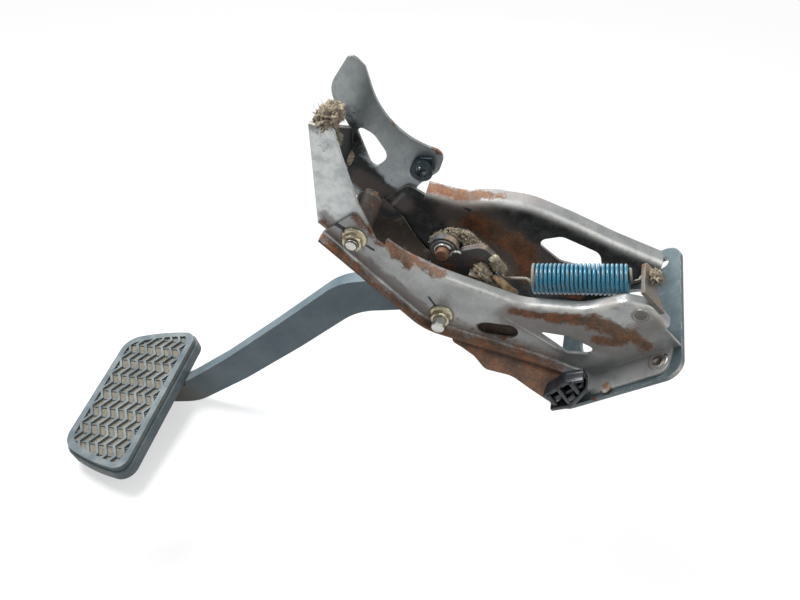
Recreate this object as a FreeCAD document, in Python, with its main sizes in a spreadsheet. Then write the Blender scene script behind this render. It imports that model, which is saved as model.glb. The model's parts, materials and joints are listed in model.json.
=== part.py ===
import FreeCAD, Part
import math
import os

from FreeCAD import Placement, Rotation, Vector

# Hanging brake pedal of a car with its stamped bracket.
# Millimetres. +X is the driver's right, +Y the front of the car, +Z up.
# The origin is the centre of the rod hole on the front face of the mount plate.

SIZES = {
    # mount plate
    "mount_width": 110.0,
    "mount_height": 90.0,
    "mount_sheet": 3.0,
    "mount_corner": 12.0,
    "rod_hole_radius": 30.0,
    "stud_margin": 13.0,
    "stud_hole_radius": 4.5,
    # where the pedal axle and the rear cross bolt lie
    "axle_back": 99.0,
    "axle_drop": 65.0,
    "rear_bolt_back": 78.0,
    "rear_bolt_rise": 1.0,
    # side plates
    "inner_width": 66.0,
    "sheet": 2.0,
    "lip_width": 8.0,
    "lip_bend": 1.5,
    "roll_width": 15.0,
    "roll_bend": 6.0,
    "hem_width": 9.0,
    "skirt_lean": 55.0,
    "seam_width": 17.0,
    "slot_width": 13.0,
    # bolts, nuts and tubes
    "bolt_radius": 4.0,
    "bolt_gap": 0.25,
    "head_across": 12.0,
    "head_flange_radius": 8.0,
    "head_flange_thick": 1.6,
    "head_thick": 5.5,
    "rear_bolt_proud": 2.0,
    "axle_bolt_proud": 6.5,
    "spacer_radius": 8.0,
    "spacer_length": 28.0,
    "collar_radius": 7.0,
    "bush_wall": 1.8,
    "bush_flange_radius": 12.5,
    "bush_flange_thick": 1.5,
    "bush_length": 14.0,
    "running_gap": 0.05,
    "boss_wall": 3.0,
    "boss_play": 0.25,
    # lever plates on the boss
    "lever_sheet": 4.0,
    "lever_radius": 19.0,
    "ear_back": 31.0,
    "ear_rise": 26.0,
    "ear_radius": 9.0,
    "pin_radius": 4.0,
    "pin_head_radius": 6.5,
    "pin_head_thick": 2.5,
    "pin_proud": 6.0,
    "clip_wire": 1.4,
    # arm
    "arm_thick": 10.0,
    "arm_top_width": 31.0,
    "arm_foot_width": 21.0,
    "arm_sideways": 50.0,
    # pad
    "pad_low_length": 106.0,
    "pad_high_length": 134.0,
    "pad_height": 64.0,
    "pad_thick": 14.0,
    "pad_corner": 11.0,
    "pad_low_corner": 18.0,
    "pad_bulge": 3.5,
    "pad_end_radius": 150.0,
    "pad_step": 1.6,
    "pad_step_depth": 5.0,
    "tread_border": 6.5,
    "tread_depth": 2.2,
    "tread_rib": 1.9,
    "tread_pitch": 7.8,
    "tread_period": 15.6,
    "tread_swing": 5.4,
    "tread_sill": 1.0,
    "tread_sill_rise": 0.9,
    "pad_tilt": 37.0,
    "pad_sideways": 72.0,
    "pad_back": 86.0,
    "pad_drop": 254.0,
    "pad_plate_thick": 3.0,
    "pad_plate_inset": 4.0,
    # return spring
    "spring_radius": 9.6,
    "spring_wire": 2.0,
    "spring_turns": 23.0,
    "spring_sides": 24.0,
    "rear_hook": 21.0,
    "front_hook": 8.8,
    # rear bracket and trim
    "weld_nut_radius": 7.5,
    "weld_nut_thick": 6.0,
    "tongue_width": 7.5,
    "tab_width": 13.0,
    "tab_thick": 2.5,
    "clip_length": 24.0,
}

doc = FreeCAD.newDocument("BrakePedal")
sheet = doc.addObject("Spreadsheet::Sheet", "Sizes")
for row, (alias, size) in enumerate(SIZES.items(), start=1):
    sheet.set("A%d" % row, alias)
    sheet.set("B%d" % row, str(size))
    sheet.setAlias("B%d" % row, alias)
doc.recompute()


def size(alias):
    return float(sheet.get(alias))


# Derived places, each from the sheet
AXLE_Y = -size("axle_back")
AXLE_Z = -size("axle_drop")
REAR_Y = AXLE_Y - size("rear_bolt_back")
REAR_Z = AXLE_Z + size("rear_bolt_rise")
MOUNT_BACK = -size("mount_sheet")
INNER = size("inner_width") / 2
OUTER = INNER + size("sheet")
WING_X = OUTER + size("sheet")
LEG_X = INNER - size("sheet")
BOLT_HOLE = size("bolt_radius") + size("bolt_gap")
BUSH_BORE = size("collar_radius") + size("running_gap")
BUSH_OUTER = BUSH_BORE + size("bush_wall")
BOSS_BORE = BUSH_OUTER + size("running_gap")
BOSS_OUTER = BOSS_BORE + size("boss_wall")
SPRING_X = INNER * 0.515
LEVER_X = SPRING_X - size("lever_sheet")
BOSS_HALF = INNER - size("bush_flange_thick") - size("boss_play")
STUD_X = size("mount_width") / 2 - size("stud_margin")
STUD_Z = size("mount_height") / 2 - size("stud_margin")


# Outlines of lines and round corners

# The side views are drawn for this distance and grow with the axle's real one
DRAWN_AXLE_BACK = 99.0
GROWTH = size("axle_back") / DRAWN_AXLE_BACK


def from_axle(points):
    """Side view points measured from the pedal axle, as (y, z, corner radius)."""
    return [
        (AXLE_Y + y * GROWTH, AXLE_Z + z * GROWTH, radius * GROWTH) for y, z, radius in points
    ]


def corner_arc(before, corner, after, radius):
    """Where the two sides of a corner touch its arc, and the middle of the arc."""
    here = Vector(corner[0], corner[1], 0)
    back = (Vector(before[0], before[1], 0) - here).normalize()
    ahead = (Vector(after[0], after[1], 0) - here).normalize()
    half = back.getAngle(ahead) / 2
    reach = radius / math.tan(half)
    bisector = (back + ahead).normalize()
    middle = here + bisector * (radius / math.sin(half) - radius)
    return here + back * reach, middle, here + ahead * reach


def outline_edges(corners, closed=True):
    """Lines and tangent arcs through the corners, in order."""
    count = len(corners)
    edges = []
    start = None
    first = None
    for index, corner in enumerate(corners):
        at_end = not closed and index in (0, count - 1)
        if at_end or corner[2] == 0:
            entry = leave = Vector(corner[0], corner[1], 0)
            arc = None
        else:
            entry, middle, leave = corner_arc(
                corners[index - 1], corner, corners[(index + 1) % count], corner[2]
            )
            arc = Part.Arc(entry, middle, leave)
        if start is not None and (start - entry).Length > 1e-6:
            edges.append(Part.LineSegment(start, entry))
        if arc:
            edges.append(arc)
        if first is None:
            first = entry
        start = leave
    if closed and (start - first).Length > 1e-6:
        edges.append(Part.LineSegment(start, first))
    return edges


def shifted(path, distance):
    """The open path moved to its left by a distance, with its arcs kept concentric."""
    normals = []
    for one, two in zip(path, path[1:]):
        along = Vector(two[0] - one[0], two[1] - one[1], 0).normalize()
        normals.append(Vector(-along.y, along.x, 0))
    moved = []
    for index, (u, v, radius) in enumerate(path):
        before = normals[max(index - 1, 0)]
        after = normals[min(index, len(normals) - 1)]
        middle = (before + after).normalize()
        step = middle * (distance / middle.dot(before))
        left_turn = before.cross(after).z > 0
        new_radius = radius - distance if left_turn else radius + distance
        moved.append((u + step.x, v + step.y, new_radius if radius else 0))
    return moved


def band(path, thickness):
    """Closed outline of a strip of sheet that follows an open path."""
    return path + shifted(path, thickness)[::-1]


def stadium(line, radius):
    """A slot's outline about a straight line, its ends all but half circles."""
    one, two = line
    along = Vector(two[0] - one[0], two[1] - one[1], 0).normalize()
    across = Vector(-along.y, along.x, 0) * radius
    bend = radius - 0.01
    return [
        (one[0] - across.x, one[1] - across.y, bend),
        (two[0] - across.x, two[1] - across.y, bend),
        (two[0] + across.x, two[1] + across.y, bend),
        (one[0] + across.x, one[1] + across.y, bend),
    ]


def flange_section(reach, bend):
    """A flange's section: across from the web's face, and up from the end of its bend."""
    sheet_thick = size("sheet")
    outer = bend + sheet_thick
    return [
        (0, -outer - WEB_OVERLAP, 0), (sheet_thick, -outer - WEB_OVERLAP, 0),
        (sheet_thick, -sheet_thick, bend), (reach, -sheet_thick, 0), (reach, 0, 0), (0, 0, outer),
    ]


# Bodies, sketches and features

# How far a swept flange runs into the web that carries it
WEB_OVERLAP = 0.5


def new_body(name):
    body = doc.addObject("PartDesign::Body", name)
    body.Label = name
    return body


def sketch_in(body, role, name, offset=0.0, turn=None, base=None):
    """A sketch on one of the body's own origin planes, moved along its normal."""
    plane = next(f for f in body.Origin.OriginFeatures if f.Role == role)
    sketch = body.newObject("Sketcher::SketchObject", name)
    sketch.AttachmentSupport = (plane, "")
    sketch.MapMode = "FlatFace"
    place = base if base is not None else Vector(0, 0, offset)
    sketch.AttachmentOffset = Placement(place, turn or Rotation())
    return sketch


def draw(sketch, *outlines):
    for corners in outlines:
        sketch.addGeometry(outline_edges(corners), False)
    return sketch


def draw_circle(sketch, u, v, radius):
    circle = Part.Circle(Vector(u, v, 0), Vector(0, 0, 1), radius)
    sketch.addGeometry(circle, False)
    return sketch


def pad(body, sketch, name, length, reverse=False):
    """A pad whose length is an expression on the sheet."""
    feature = body.newObject("PartDesign::Pad", name)
    feature.Profile = sketch
    feature.setExpression("Length", length)
    feature.Reversed = reverse
    doc.recompute()
    return feature


def pocket(body, sketch, name, length=None, reverse=False):
    """A pocket through the whole body, or as deep as an expression says."""
    before = body.Shape.Volume
    feature = body.newObject("PartDesign::Pocket", name)
    feature.Profile = sketch
    feature.Reversed = reverse
    if length is None:
        feature.Type = "ThroughAll"
        feature.SideType = "Symmetric"
    else:
        feature.setExpression("Length", length)
    doc.recompute()
    if body.Shape.Volume > before - 1e-3:
        raise ValueError("%s cuts nothing from %s" % (name, body.Label))
    return feature


def revolve(body, sketch, name):
    """A full turn of the sketch about its own horizontal axis."""
    feature = body.newObject("PartDesign::Revolution", name)
    feature.Profile = sketch
    feature.ReferenceAxis = (sketch, ["H_Axis"])
    feature.Angle = 360
    doc.recompute()
    return feature


def flange(body, name, path, web_x, leaves, rises, reach, bend):
    """A bent flange swept along a web's edge. It leaves the web towards +X or -X, as the
    sign of leaves says, and rises tells whether the edge is the web's top or its foot."""
    edges = outline_edges(path, closed=False)
    spine = sketch_in(body, "YZ_Plane", name + "Spine", web_x)
    spine.addGeometry(edges, False)
    one, two = path[0], path[1]
    along = Vector(0, two[0] - one[0], two[1] - one[1]).normalize()
    out = Vector(leaves, 0, 0)
    up = Vector(0, -along.z, along.y) * rises
    turn = Rotation(out, up, out.cross(up), "XYZ")
    plane = Rotation(Vector(0, 1, 0), Vector(0, 0, 1), Vector(1, 0, 0), "XYZ").inverted()
    start = plane * Vector(web_x, one[0], one[1])
    section = sketch_in(body, "YZ_Plane", name + "Section", turn=plane * turn, base=start)
    draw(section, flange_section(reach, bend))
    doc.recompute()
    pipe = body.newObject("PartDesign::AdditivePipe", name)
    pipe.Profile = section
    pipe.Spine = (spine, ["Edge%d" % (number + 1) for number in range(len(edges))])
    doc.recompute()
    return pipe


def stud_room(body, name):
    """Clears a side plate's front flange where the studs pass."""
    holes = sketch_in(body, "XZ_Plane", name, -MOUNT_BACK)
    for side in (-1, 1):
        for height in (-1, 1):
            draw_circle(holes, side * STUD_X, height * STUD_Z, size("stud_hole_radius") + STUD_EASE)
    pocket(body, holes, name + "Cut", "Sizes.sheet", reverse=True)


def solid(name, shape, placement=None):
    """A set shape, for the forms that neither a body nor a primitive fits."""
    feature = doc.addObject("Part::Feature", name)
    feature.Label = name
    feature.Shape = shape
    if placement:
        feature.Placement = placement
    return feature


ALONG_X = Rotation(Vector(0, 1, 0), 90)


def cylinder(name, radius, length, x, y, z):
    """A Part::Cylinder along +X whose radius and length are expressions."""
    item = doc.addObject("Part::Cylinder", name)
    item.setExpression("Radius", radius)
    item.setExpression("Height", length)
    item.Placement = Placement(Vector(x, y, z), ALONG_X)
    return item


def hexagon(name, length, x, y, z):
    item = doc.addObject("Part::Prism", name)
    item.Polygon = 6
    item.setExpression("Circumradius", "Sizes.head_across / sqrt(3)")
    item.setExpression("Height", length)
    item.Placement = Placement(Vector(x, y, z), ALONG_X)
    return item


def fuse(label, *items):
    item = doc.addObject("Part::MultiFuse", label)
    item.Shapes = list(items)
    item.Label = label
    return item


def cut(label, base, tool):
    item = doc.addObject("Part::Cut", label)
    item.Base = base
    item.Tool = tool
    item.Label = label
    return item


nodes = []


# Mount plate with its rod hole and four stud holes

# The side plates' stud holes are a little wider than the mount plate's
STUD_EASE = 0.6


def make_mount_plate():
    body = new_body("mount_plate")
    half_width = size("mount_width") / 2
    half_height = size("mount_height") / 2
    corner = size("mount_corner")
    face = sketch_in(body, "XZ_Plane", "MountOutline")
    draw(face, [
        (-half_width, -half_height, corner),
        (half_width, -half_height, corner),
        (half_width, half_height, corner),
        (-half_width, half_height, corner),
    ])
    draw_circle(face, 0, 0, size("rod_hole_radius"))
    for side in (-1, 1):
        for height in (-1, 1):
            draw_circle(face, side * STUD_X, height * STUD_Z, size("stud_hole_radius"))
    pad(body, face, "MountPad", "Sizes.mount_sheet")
    nodes.append(body)


# Right side plate: web, inward lip, outward skirt and front seam

FRONT_TOP = AXLE_Z + 113 * GROWTH
FRONT_FOOT = AXLE_Z + 46 * GROWTH
RIGHT_REAR_TOP = from_axle([(-91, 16, 4), (-72, 10, 25)])
RIGHT_LIP = from_axle([
    (-62, 11.4, 0), (-50, 13, 60), (-27, 22, 70), (20, 49, 30), (42, 78, 25), (48, 103, 9),
    (59, 113, 8), (78, 113, 0),
])
RIGHT_FOOT = from_axle([(-92, -14, 0), (0, -14.3, 35), (25, 2.2, 60), (65, 29, 60), (90, 43, 0)])
# The front seam's slope below the lip, and the corners of both plates' seams
RIGHT_SEAM_START = 4.0
RIGHT_SEAM_END = 12.0
SEAM_TOP_BEND = 8.0
SEAM_FOOT_BEND = 6.0
SLOT_LINE = [(22, 11.5, 0), (38.8, 31.4, 0)]
RIGHT_WINDOW = [(42.5, 42, 2), (70, 46.5, 5), (78.5, 59, 4), (73, 63.5, 4), (56.5, 57, 14)]
SKIRT_FOLD = from_axle([(25, 2.2, 0), (65, 29, 0)])
SKIRT = [
    (-10, -1, 0), (70, -1, 0), (73, 12, 5), (66, 26, 6), (49, 21, 12),
    (34, 16, 20), (16, 17, 8), (7, 11, 4), (-2, 8, 4), (-10, 6, 3),
]


def make_right_plate():
    body = new_body("right_side_plate")
    bend = size("lip_bend")
    depth = bend + size("sheet")
    web = sketch_in(body, "YZ_Plane", "RightWeb", INNER)
    foot = shifted(RIGHT_FOOT, depth)
    top = [RIGHT_LIP[0]] + shifted(RIGHT_LIP, -depth)
    draw(web, foot + [(MOUNT_BACK, foot[-1][1], 0), (MOUNT_BACK, top[-1][1], 0)]
         + top[::-1] + RIGHT_REAR_TOP[::-1])
    draw_circle(web, AXLE_Y, AXLE_Z, BOLT_HOLE)
    draw_circle(web, REAR_Y, REAR_Z, BOLT_HOLE)
    pad(body, web, "RightWebPad", "Sizes.sheet")
    flange(body, "RightLip", RIGHT_LIP, OUTER, -1, 1, size("lip_width"), bend)
    flange(body, "RightHem", RIGHT_FOOT, INNER, 1, -1, size("hem_width"), bend)

    seam = sketch_in(body, "XZ_Plane", "RightSeam", -MOUNT_BACK)
    edge = OUTER + size("seam_width")
    draw(seam, [
        (INNER, foot[-1][1], 0), (INNER, FRONT_TOP - depth - RIGHT_SEAM_START, 0),
        (edge, FRONT_TOP - RIGHT_SEAM_END, SEAM_TOP_BEND), (edge, FRONT_FOOT, SEAM_FOOT_BEND),
        (OUTER, FRONT_FOOT, SEAM_FOOT_BEND),
    ])
    pad(body, seam, "RightSeamPad", "Sizes.sheet")
    stud_room(body, "RightStuds")

    fold_start, fold_end = SKIRT_FOLD
    skirt_start = Vector(fold_start[0], fold_start[1], OUTER + bend)
    along_foot = Vector(fold_end[0] - fold_start[0], fold_end[1] - fold_start[1], 0).normalize()
    lean = math.radians(size("skirt_lean"))
    outward = Vector(along_foot.y, -along_foot.x, 0) * math.cos(lean) + Vector(0, 0, math.sin(lean))
    skirt_turn = Rotation(along_foot, outward, along_foot.cross(outward), "XYZ")
    skirt = sketch_in(body, "YZ_Plane", "RightSkirt", turn=skirt_turn, base=skirt_start)
    draw(skirt, SKIRT)
    pad(body, skirt, "RightSkirtPad", "Sizes.sheet")

    slot = sketch_in(body, "YZ_Plane", "RightSlot", INNER)
    draw(slot, stadium(from_axle(SLOT_LINE), size("slot_width") / 2))
    pocket(body, slot, "RightSlotCut", "Sizes.sheet * 2", reverse=True)

    window = sketch_in(body, "YZ_Plane", "RightWindow", INNER)
    draw(window, from_axle(RIGHT_WINDOW))
    pocket(body, window, "RightWindowCut", "Sizes.sheet * 2", reverse=True)
    nodes.append(body)
    return body


# Left side plate: web, rolled top turned outward, hem and front seam

LEFT_FRONT_TOP = AXLE_Z + 92 * GROWTH
LEFT_FRONT_FOOT = AXLE_Z + 26 * GROWTH
LEFT_REAR_TOP = from_axle([(-58, 4, 6)])
LEFT_ROLL = from_axle([
    (-45, 7.8, 0), (-26, 22, 30), (-15, 40, 25), (4, 58, 40), (30, 71, 60), (60, 84, 90),
    (92, 100, 0),
])
LEFT_REAR_FOOT = from_axle([(-50, -34, 12), (-58, -18, 8)])
LEFT_HEM = from_axle([(-43, -35.2, 0), (2, -36, 40), (42, -24, 50), (80, 6, 40), (88, 18, 0)])
LEFT_WINDOW = [(27, 43, 5), (52, 46, 8), (76, 64, 5), (60, 73, 9), (34, 61, 8)]


def make_left_plate():
    body = new_body("left_side_plate")
    web = sketch_in(body, "YZ_Plane", "LeftWeb", -OUTER)
    roll_depth = size("roll_bend") + size("sheet")
    foot = [LEFT_HEM[0]] + shifted(LEFT_HEM, size("lip_bend") + size("sheet"))
    top = [LEFT_ROLL[0]] + shifted(LEFT_ROLL, -roll_depth)
    draw(web, foot + [(MOUNT_BACK, LEFT_FRONT_FOOT, 0), (MOUNT_BACK, LEFT_FRONT_TOP, 0)]
         + top[::-1] + LEFT_REAR_TOP + LEFT_REAR_FOOT[::-1])
    draw_circle(web, AXLE_Y, AXLE_Z, BOLT_HOLE)
    pad(body, web, "LeftWebPad", "Sizes.sheet")
    flange(body, "LeftRoll", LEFT_ROLL, -INNER, -1, 1, size("roll_width"), size("roll_bend"))
    flange(body, "LeftHem", LEFT_HEM, -INNER, -1, -1, size("hem_width"), size("lip_bend"))

    seam = sketch_in(body, "XZ_Plane", "LeftSeam", -MOUNT_BACK)
    edge = -OUTER - size("seam_width")
    draw(seam, [
        (-INNER, LEFT_FRONT_TOP, 0), (-INNER, LEFT_FRONT_FOOT, 0),
        (edge, LEFT_FRONT_FOOT, SEAM_FOOT_BEND), (edge, LEFT_FRONT_TOP, SEAM_TOP_BEND),
    ])
    pad(body, seam, "LeftSeamPad", "Sizes.sheet")
    stud_room(body, "LeftStuds")

    window = sketch_in(body, "YZ_Plane", "LeftWindow", -OUTER)
    draw(window, from_axle(LEFT_WINDOW))
    pocket(body, window, "LeftWindowCut", "Sizes.sheet * 2", reverse=True)
    nodes.append(body)
    return body


# Rear bracket: near leg, sloping rear wall and the far wing with its window

WELD_NUT_Y = AXLE_Y - 62
WELD_NUT_Z = AXLE_Z + 22
WALL_TOP = (-146.0, 40.0)
WALL_FOOT = (-98.0, -11.0)
LEG = [
    (*WALL_FOOT, 0), (-68, -9, 5), (-66, 8, 5), (-92, 20, 12),
    (-122, 39, 12), (-136, 49, 4), (*WALL_TOP, 0),
]
# How far down its slope the wall's top has come where it meets the wing
STEP_SHARE = 0.6875
WALL_STEP = (
    WALL_TOP[0] + (WALL_FOOT[0] - WALL_TOP[0]) * STEP_SHARE,
    WALL_TOP[1] + (WALL_FOOT[1] - WALL_TOP[1]) * STEP_SHARE,
)
WING = [
    (*WALL_FOOT, 0), (-84, -34, 10), (-46, -36, 8), (-47.5, -8, 14), (-53, 10, 14),
    (-53, 28, 9), (-61, 41.2, 7), (-95, 21, 52), (-134, 44, 5), (-146, 44, 4), (-139, 14, 18),
    (*WALL_STEP, 0),
]
WING_WINDOW = [(-112, 9, 3), (-79.5, -8, 4), (-80, 9, 9), (-99, 13.5, 12)]


def make_rear_bracket():
    body = new_body("rear_bracket")
    leg = sketch_in(body, "YZ_Plane", "Leg", LEG_X)
    draw(leg, from_axle(LEG))
    draw_circle(leg, REAR_Y, REAR_Z, BOLT_HOLE)
    pad(body, leg, "LegPad", "Sizes.sheet")

    wing = sketch_in(body, "YZ_Plane", "Wing", -WING_X)
    draw(wing, from_axle(WING))
    draw_circle(wing, WELD_NUT_Y, WELD_NUT_Z, BOLT_HOLE)
    draw(wing, from_axle(WING_WINDOW))
    pad(body, wing, "WingPad", "Sizes.sheet")

    wall = sketch_in(body, "YZ_Plane", "Wall", -OUTER)
    wall_path = from_axle([(*WALL_TOP, 0), (*WALL_FOOT, 0)])
    draw(wall, band(wall_path, size("sheet")))
    pad(body, wall, "WallPad", "Sizes.inner_width + Sizes.sheet")

    # The wall's top edge slopes down from the leg to the wing
    top_z = AXLE_Z + WALL_TOP[1] * GROWTH
    step_z = AXLE_Z + WALL_STEP[1] * GROWTH
    slope = sketch_in(body, "XZ_Plane", "WallSlope")
    draw(slope, [
        (-OUTER, step_z, 0), (LEG_X, top_z, 0), (LEG_X, 2 * top_z - step_z, 0),
        (-OUTER, 2 * top_z - step_z, 0),
    ])
    pocket(body, slope, "WallSlopeCut")
    nodes.append(body)
    return body


# Bolts, nuts and tubes that run along X


def make_bolt(name, y, z, start, end):
    """A flange bolt whose head seats at start and whose shank ends at end."""
    span = doc.addObject("Part::Cylinder", name + "_shank")
    span.setExpression("Radius", "Sizes.bolt_radius")
    span.Height = end - start
    span.Placement = Placement(Vector(start, y, z), ALONG_X)
    flange_x = start - size("head_flange_thick")
    flange = cylinder(name + "_flange", "Sizes.head_flange_radius",
                      "Sizes.head_flange_thick", flange_x, y, z)
    head = hexagon(name + "_head", "Sizes.head_thick", start - size("head_thick"), y, z)
    nodes.append(fuse(name, span, flange, head))


def make_nut(name, y, z, start):
    flange = cylinder(name + "_flange", "Sizes.head_flange_radius", "Sizes.head_flange_thick",
                      start, y, z)
    hexagonal = hexagon(name + "_hex", "Sizes.head_thick", start, y, z)
    blank = fuse(name + "_blank", flange, hexagonal)
    bore = cylinder(name + "_bore", "Sizes.bolt_radius", "Sizes.head_thick", start, y, z)
    nodes.append(cut(name, blank, bore))


def make_tube(name, outer, inner, length, start, y, z):
    """A plain tube along X, its sizes given as expressions."""
    wall = cylinder(name + "_wall", outer, length, start, y, z)
    bore = cylinder(name + "_bore", inner, length, start, y, z)
    nodes.append(cut(name, wall, bore))


def make_axles():
    nut_end = size("head_thick")
    spacer_x = LEG_X - size("spacer_length")
    make_bolt("rear_bolt", REAR_Y, REAR_Z, spacer_x, OUTER + nut_end + size("rear_bolt_proud"))
    make_nut("rear_nut", REAR_Y, REAR_Z, OUTER)
    make_bolt("pivot_bolt", AXLE_Y, AXLE_Z, -OUTER, OUTER + nut_end + size("axle_bolt_proud"))
    make_nut("pivot_nut", AXLE_Y, AXLE_Z, OUTER)
    bolt_bore = "Sizes.bolt_radius + Sizes.bolt_gap"
    make_tube("rear_spacer_tube", "Sizes.spacer_radius", bolt_bore,
              "Sizes.spacer_length", spacer_x, REAR_Y, REAR_Z)
    make_tube("pivot_collar", "Sizes.collar_radius", bolt_bore,
              "Sizes.inner_width", -INNER, AXLE_Y, AXLE_Z)


# Bushes, boss tube and lever plates of the pedal


def make_bush(name, side):
    body = new_body(name)
    profile = sketch_in(body, "XY_Plane", name + "_section",
                        base=Vector(0, AXLE_Y, AXLE_Z))
    end = side * BOSS_HALF
    outside = end + side * size("bush_flange_thick")
    inside = end - side * size("bush_length")
    draw(profile, [
        (inside, BUSH_BORE, 0), (inside, BUSH_OUTER, 0), (end, BUSH_OUTER, 0),
        (end, size("bush_flange_radius"), 0), (outside, size("bush_flange_radius"), 0),
        (outside, BUSH_BORE, 0),
    ])
    revolve(body, profile, name + "_turn")
    nodes.append(body)


def make_boss():
    outer = "Sizes.collar_radius + 2 * Sizes.running_gap + Sizes.bush_wall + Sizes.boss_wall"
    inner = "Sizes.collar_radius + 2 * Sizes.running_gap + Sizes.bush_wall"
    length = "Sizes.inner_width - 2 * (Sizes.bush_flange_thick + Sizes.boss_play)"
    make_tube("boss_tube", outer, inner, length, -BOSS_HALF, AXLE_Y, AXLE_Z)


def ear_centre():
    return AXLE_Y - size("ear_back"), AXLE_Z + size("ear_rise")


LEVER_HEAD = [
    (-12, 14, 0), (14, 10, 3), (10, 30, 7), (-4, 48, 7), (-19, 48, 7), (-24, 34, 5),
]


def make_lever(name, x):
    body = new_body(name)
    face = sketch_in(body, "YZ_Plane", name + "_disc", x)
    draw_circle(face, AXLE_Y, AXLE_Z, size("lever_radius"))
    draw_circle(face, AXLE_Y, AXLE_Z, BOSS_OUTER)
    pad(body, face, name + "_disc_pad", "Sizes.lever_sheet")
    nodes.append(body)
    return body


def add_ear(body, x):
    """The ear that carries the clevis pin, and the head beside the spring's tongue."""
    ear_y, ear_z = ear_centre()
    along = Vector(ear_y - AXLE_Y, ear_z - AXLE_Z, 0)
    reach = along.Length
    along = along / reach
    across = Vector(-along.y, along.x, 0)
    radius = size("ear_radius")
    start = Vector(AXLE_Y, AXLE_Z, 0) + along * (BOSS_OUTER + 1)
    tip = Vector(ear_y, ear_z, 0) + along * radius
    ear = sketch_in(body, "YZ_Plane", "Ear", x)
    corners = [start - across * radius, tip - across * radius,
               tip + across * radius, start + across * radius]
    rounds = (0, radius - 0.01, radius - 0.01, 0)
    draw(ear, [(spot.x, spot.y, bend) for spot, bend in zip(corners, rounds)])
    pad(body, ear, "EarPad", "Sizes.lever_sheet")
    bore = sketch_in(body, "YZ_Plane", "EarBore", x)
    draw_circle(bore, ear_y, ear_z, size("pin_radius"))
    pocket(body, bore, "EarBoreCut", "Sizes.lever_sheet", reverse=True)
    head = sketch_in(body, "YZ_Plane", "LeverHead", x)
    draw(head, from_axle(LEVER_HEAD))
    pad(body, head, "LeverHeadPad", "Sizes.lever_sheet")


# Tongue that the return spring hooks into


TONGUE_LINE = [(-10, 28, 0), (0, 34, 6), (20, 42, 0)]


def make_tongue():
    body = new_body("spring_tongue")
    strip = sketch_in(body, "YZ_Plane", "TongueStrip", SPRING_X)
    draw(strip, band(from_axle(TONGUE_LINE), size("tab_thick")))
    pad(body, strip, "TonguePad", "Sizes.tongue_width")
    nodes.append(body)


# How far ahead of the axle the tab begins
TAB_START = 47
TAB_HOLE = 2.6
# How far the tab reaches past its hole towards the far plate and the near one
TAB_LEFT = 9
TAB_RIGHT = 6
TAB_FOOT = 8
TAB_BEND = 3


def make_tab():
    body = new_body("spring_tab")
    plan = sketch_in(body, "XY_Plane", "TabPlan", FRONT_TOP)
    rear = AXLE_Y + TAB_START * GROWTH
    front = rear + size("tab_width")
    left = SPRING_X - TAB_LEFT
    draw(plan, [
        (INNER, rear, 0), (INNER, front + TAB_FOOT, 0), (SPRING_X + TAB_RIGHT, front, TAB_BEND),
        (left, front, TAB_BEND), (left, rear, TAB_BEND),
    ])
    draw_circle(plan, SPRING_X, rear + size("tab_width") / 2, TAB_HOLE)
    pad(body, plan, "TabPad", "Sizes.tab_thick")
    nodes.append(body)


# Clevis pin through the ear, with its ring clip


# Air between the lever plate and the ring clip
CLIP_PLAY = 0.1


def make_clevis():
    ear_y, ear_z = ear_centre()
    right = LEVER_X + size("lever_sheet")
    head_x = LEVER_X - size("pin_head_thick")
    head = cylinder("clevis_pin_head", "Sizes.pin_head_radius", "Sizes.pin_head_thick",
                    head_x, ear_y, ear_z)
    shank = cylinder("clevis_pin_shank", "Sizes.pin_radius - 0.05",
                     "Sizes.lever_sheet + Sizes.pin_proud", LEVER_X, ear_y, ear_z)
    nodes.append(fuse("clevis_pin", head, shank))

    ring = new_body("pin_clip")
    section = sketch_in(ring, "XY_Plane", "ClipSection", base=Vector(0, ear_y, ear_z))
    wire = size("clip_wire")
    bevel = wire / 4
    near = right + CLIP_PLAY
    inner = size("pin_radius")
    draw(section, [
        (near, inner + bevel, 0), (near + bevel, inner, 0), (near + wire - bevel, inner, 0),
        (near + wire, inner + bevel, 0), (near + wire, inner + wire - bevel, 0),
        (near + wire - bevel, inner + wire, 0), (near + bevel, inner + wire, 0),
        (near, inner + wire - bevel, 0),
    ])
    revolve(ring, section, "ClipTurn")
    nodes.append(ring)


# Arm: a flat bar, bent in side view and sideways, as two crossed profiles

# Its middle line in side view, as shares of the pad's distance behind and below the axle
ARM_LINE = [
    (0, 0), (-0.023, -0.110), (-0.366, -0.272), (-0.395, -0.512), (-0.442, -0.748),
    (-0.523, -0.953), (-0.767, -1.063),
]
ARM_BEND = 40.0
# How far below the axle the bar begins to bend sideways, and the bend's radius
SIDE_BEND_DROP = 28.0
SIDE_BEND = 60.0


def arm_outline():
    """Both edges of the bar in side view, its width shrinking towards the foot."""
    back = size("pad_back")
    drop = size("pad_drop")
    line = [Vector(AXLE_Y + y * back, AXLE_Z + z * drop, 0) for y, z in ARM_LINE]
    last = len(line) - 1
    rear = []
    front = []
    for index, spot in enumerate(line):
        before = line[max(index - 1, 0)]
        after = line[min(index + 1, last)]
        along = (after - before).normalize()
        across = Vector(along.y, -along.x, 0)
        width = size("arm_top_width")
        width += (size("arm_foot_width") - width) * index / last
        bend = 0 if index in (0, last) else ARM_BEND
        rear.append((*(spot + across * width / 2)[:2], bend))
        front.append((*(spot - across * width / 2)[:2], bend))
    return rear + front[::-1]


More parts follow.
